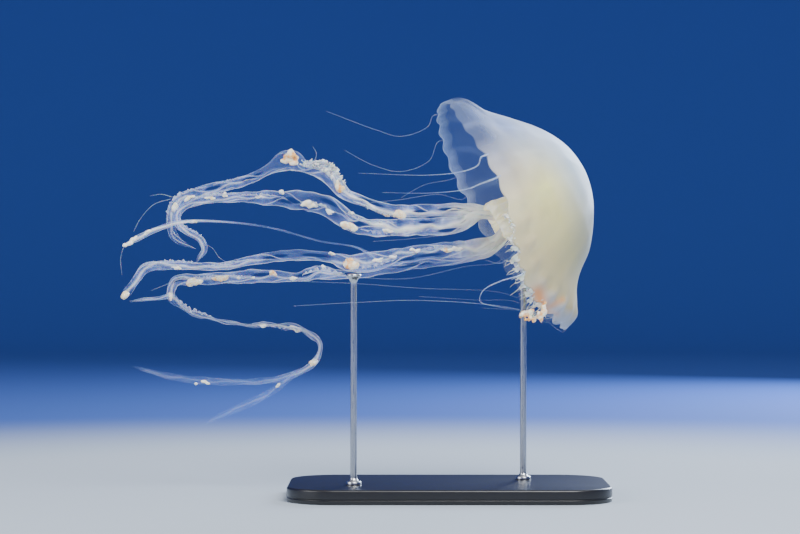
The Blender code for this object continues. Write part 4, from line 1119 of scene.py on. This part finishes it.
BEAD_SWELL = 0.14
# three are thicker and milkier at the root: how many times, and how soon that is lost
STOUT = {5: (2.4, 2.5), 6: (2.6, 2.5), 10: (2.0, 1.0)}


def rim_lead(cleft):
    """Three points that lead from inside the rim at a cleft out along it."""
    rim_point, leave = leaving_rim(cleft)
    return [tuple(rim_point + reach * leave) for reach in (-1.2, 0.4, 4.0)]


# Tentacle thread: the clearest silicone, faintly blue, with paler beads along it.
thread_look, tree, shader, place = start_material(
    "clear_tentacle_silicone", Roughness=0.25, IOR=1.38, Subsurface_Weight=0.3, Subsurface_Scale=0.002,
    Coat_Weight=0.4, Coat_Roughness=0.1)
BEADS_PER_METRE = 450.0  # a bead every couple of millimetres
bead = add(tree, "ShaderNodeTexNoise", {"Vector": place, "Scale": BEADS_PER_METRE, "Detail": 1.0})
beaded = add(tree, "ShaderNodeMapRange", (bead, 0.35, 0.65))
tint = add(tree, "ShaderNodeMix", {0: beaded, 6: "#a9c4f6", 7: "#e2ebfb"}, out=2, data_type="RGBA")
wire(shader, Base_Color=tint, Alpha=add(tree, "ShaderNodeAttribute", out="Fac", attribute_name="bright"))

lines = []
for cleft, points in TENTACLES.items():
    rows, run = stations([(*p, 0) for p in (*rim_lead(cleft), *points)], 0.6)
    share = run / run[-1]
    times, loss = STOUT.get(cleft, (1.0, 1.0))
    stout = 1 + (times - 1) * (1 - share) ** loss
    taper = (TENTACLE_BASE + (TENTACLE_TIP - TENTACLE_BASE) * share) * stout
    beads = 1 + BEAD_SWELL * np.sin(2 * math.pi * run / BEAD_LENGTH + cleft)
    lines.append((rows[:, :3], taper * beads, TENTACLE_COVER * stout**1.5, 0.0))
tentacles = threads("tentacle_threads", lines, thread_look)
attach(tentacles, "root")
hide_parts(*[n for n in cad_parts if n.startswith("tentacle_")])

# ---- Studio ---------------------------------------------------------------------------------
# A plain sweep of matt paper under the stand, pale round it and a deeper blue farther off, which
# rises to a wall all round, with soft lamps.
SWEEP_FLOOR = 2.4
SWEEP_CURVE = 0.9
SWEEP_WALL = 3.2
profile = [(0.0, 0.4), (0.0, 1.0), (0.0, SWEEP_FLOOR)]
profile += [
    (SWEEP_CURVE * (1 - math.cos(a)), SWEEP_FLOOR + SWEEP_CURVE * math.sin(a))
    for a in np.linspace(0, math.pi / 2, 14)[1:]
]
profile += [(SWEEP_WALL, SWEEP_FLOOR + SWEEP_CURVE)]
SWEEP_AROUND = 96
sweep_points, quads = turned(profile, (0.0, 0.0), SWEEP_AROUND)
sweep_faces = [tuple(f) for f in quads] + [tuple(range(SWEEP_AROUND))]
# Matt paper, sprayed with blue from the edge of the light outwards.
paper, tree, shader, place = start_material("pale_paper", Roughness=0.9)
flat = add(tree, "ShaderNodeVectorMath", (place, (1.0, 1.0, 0.0)), operation="MULTIPLY")
away = add(tree, "ShaderNodeVectorMath", (flat,), out="Value", operation="LENGTH")
pool = add(tree, "ShaderNodeMapRange", (away, 0.32, 0.8), interpolation_type="SMOOTHSTEP")
tint = add(tree, "ShaderNodeMix", {0: pool, 6: "#b9c4cf", 7: "#3a5fb2"}, out=2, data_type="RGBA")
wire(shader, Base_Color=tint)
sweep = as_piece("paper_sweep", sweep_points / MM - PLACE, sweep_faces, paper)

# square softboxes: name, place, the point that each faces, width in metres, watts and colour
for name, where, at, width, watts, colour in (
    ("key", (0.45, -1.1, 1.3), (0, 0, 0.15), 0.9, 42, "#ffffff"),
    ("fill", (-1.5, -0.75, 0.8), (0, 0, 0.15), 1.0, 17, "#ffffff"),
    ("back", (0.75, 1.15, 0.55), (0.05, 0, 0.15), 0.7, 26, "#dcebff"),
):
    lamp = bpy.data.lights.new(name, "AREA")
    lamp.shape, lamp.size, lamp.energy = "SQUARE", width, watts
    lamp.color = linear(colour)[:3]
    holder = bpy.data.objects.new(name, lamp)
    bpy.context.scene.collection.objects.link(holder)
    aim = np.subtract(at, where)
    holder.location = where
    tip = math.acos(-aim[2] / np.linalg.norm(aim))
    holder.rotation_euler = (tip, 0, math.atan2(aim[1], aim[0]) - math.pi / 2)
    holder.visible_camera = False

world = bpy.data.worlds.new("studio")
world.use_nodes = True
world.node_tree.nodes["Background"].inputs["Color"].default_value = linear("#dfe6ee")
world.node_tree.nodes["Background"].inputs["Strength"].default_value = 0.45
bpy.context.scene.world = world

lens = bpy.data.cameras.new("camera")
lens.lens, lens.sensor_width = 114.5, 36.0
camera = bpy.data.objects.new("camera", lens)
camera.location = (0.0194, -1.4002, 0.1265)
camera.rotation_euler = (math.pi / 2, 0, 0)
bpy.context.scene.collection.objects.link(camera)
bpy.context.scene.camera = camera
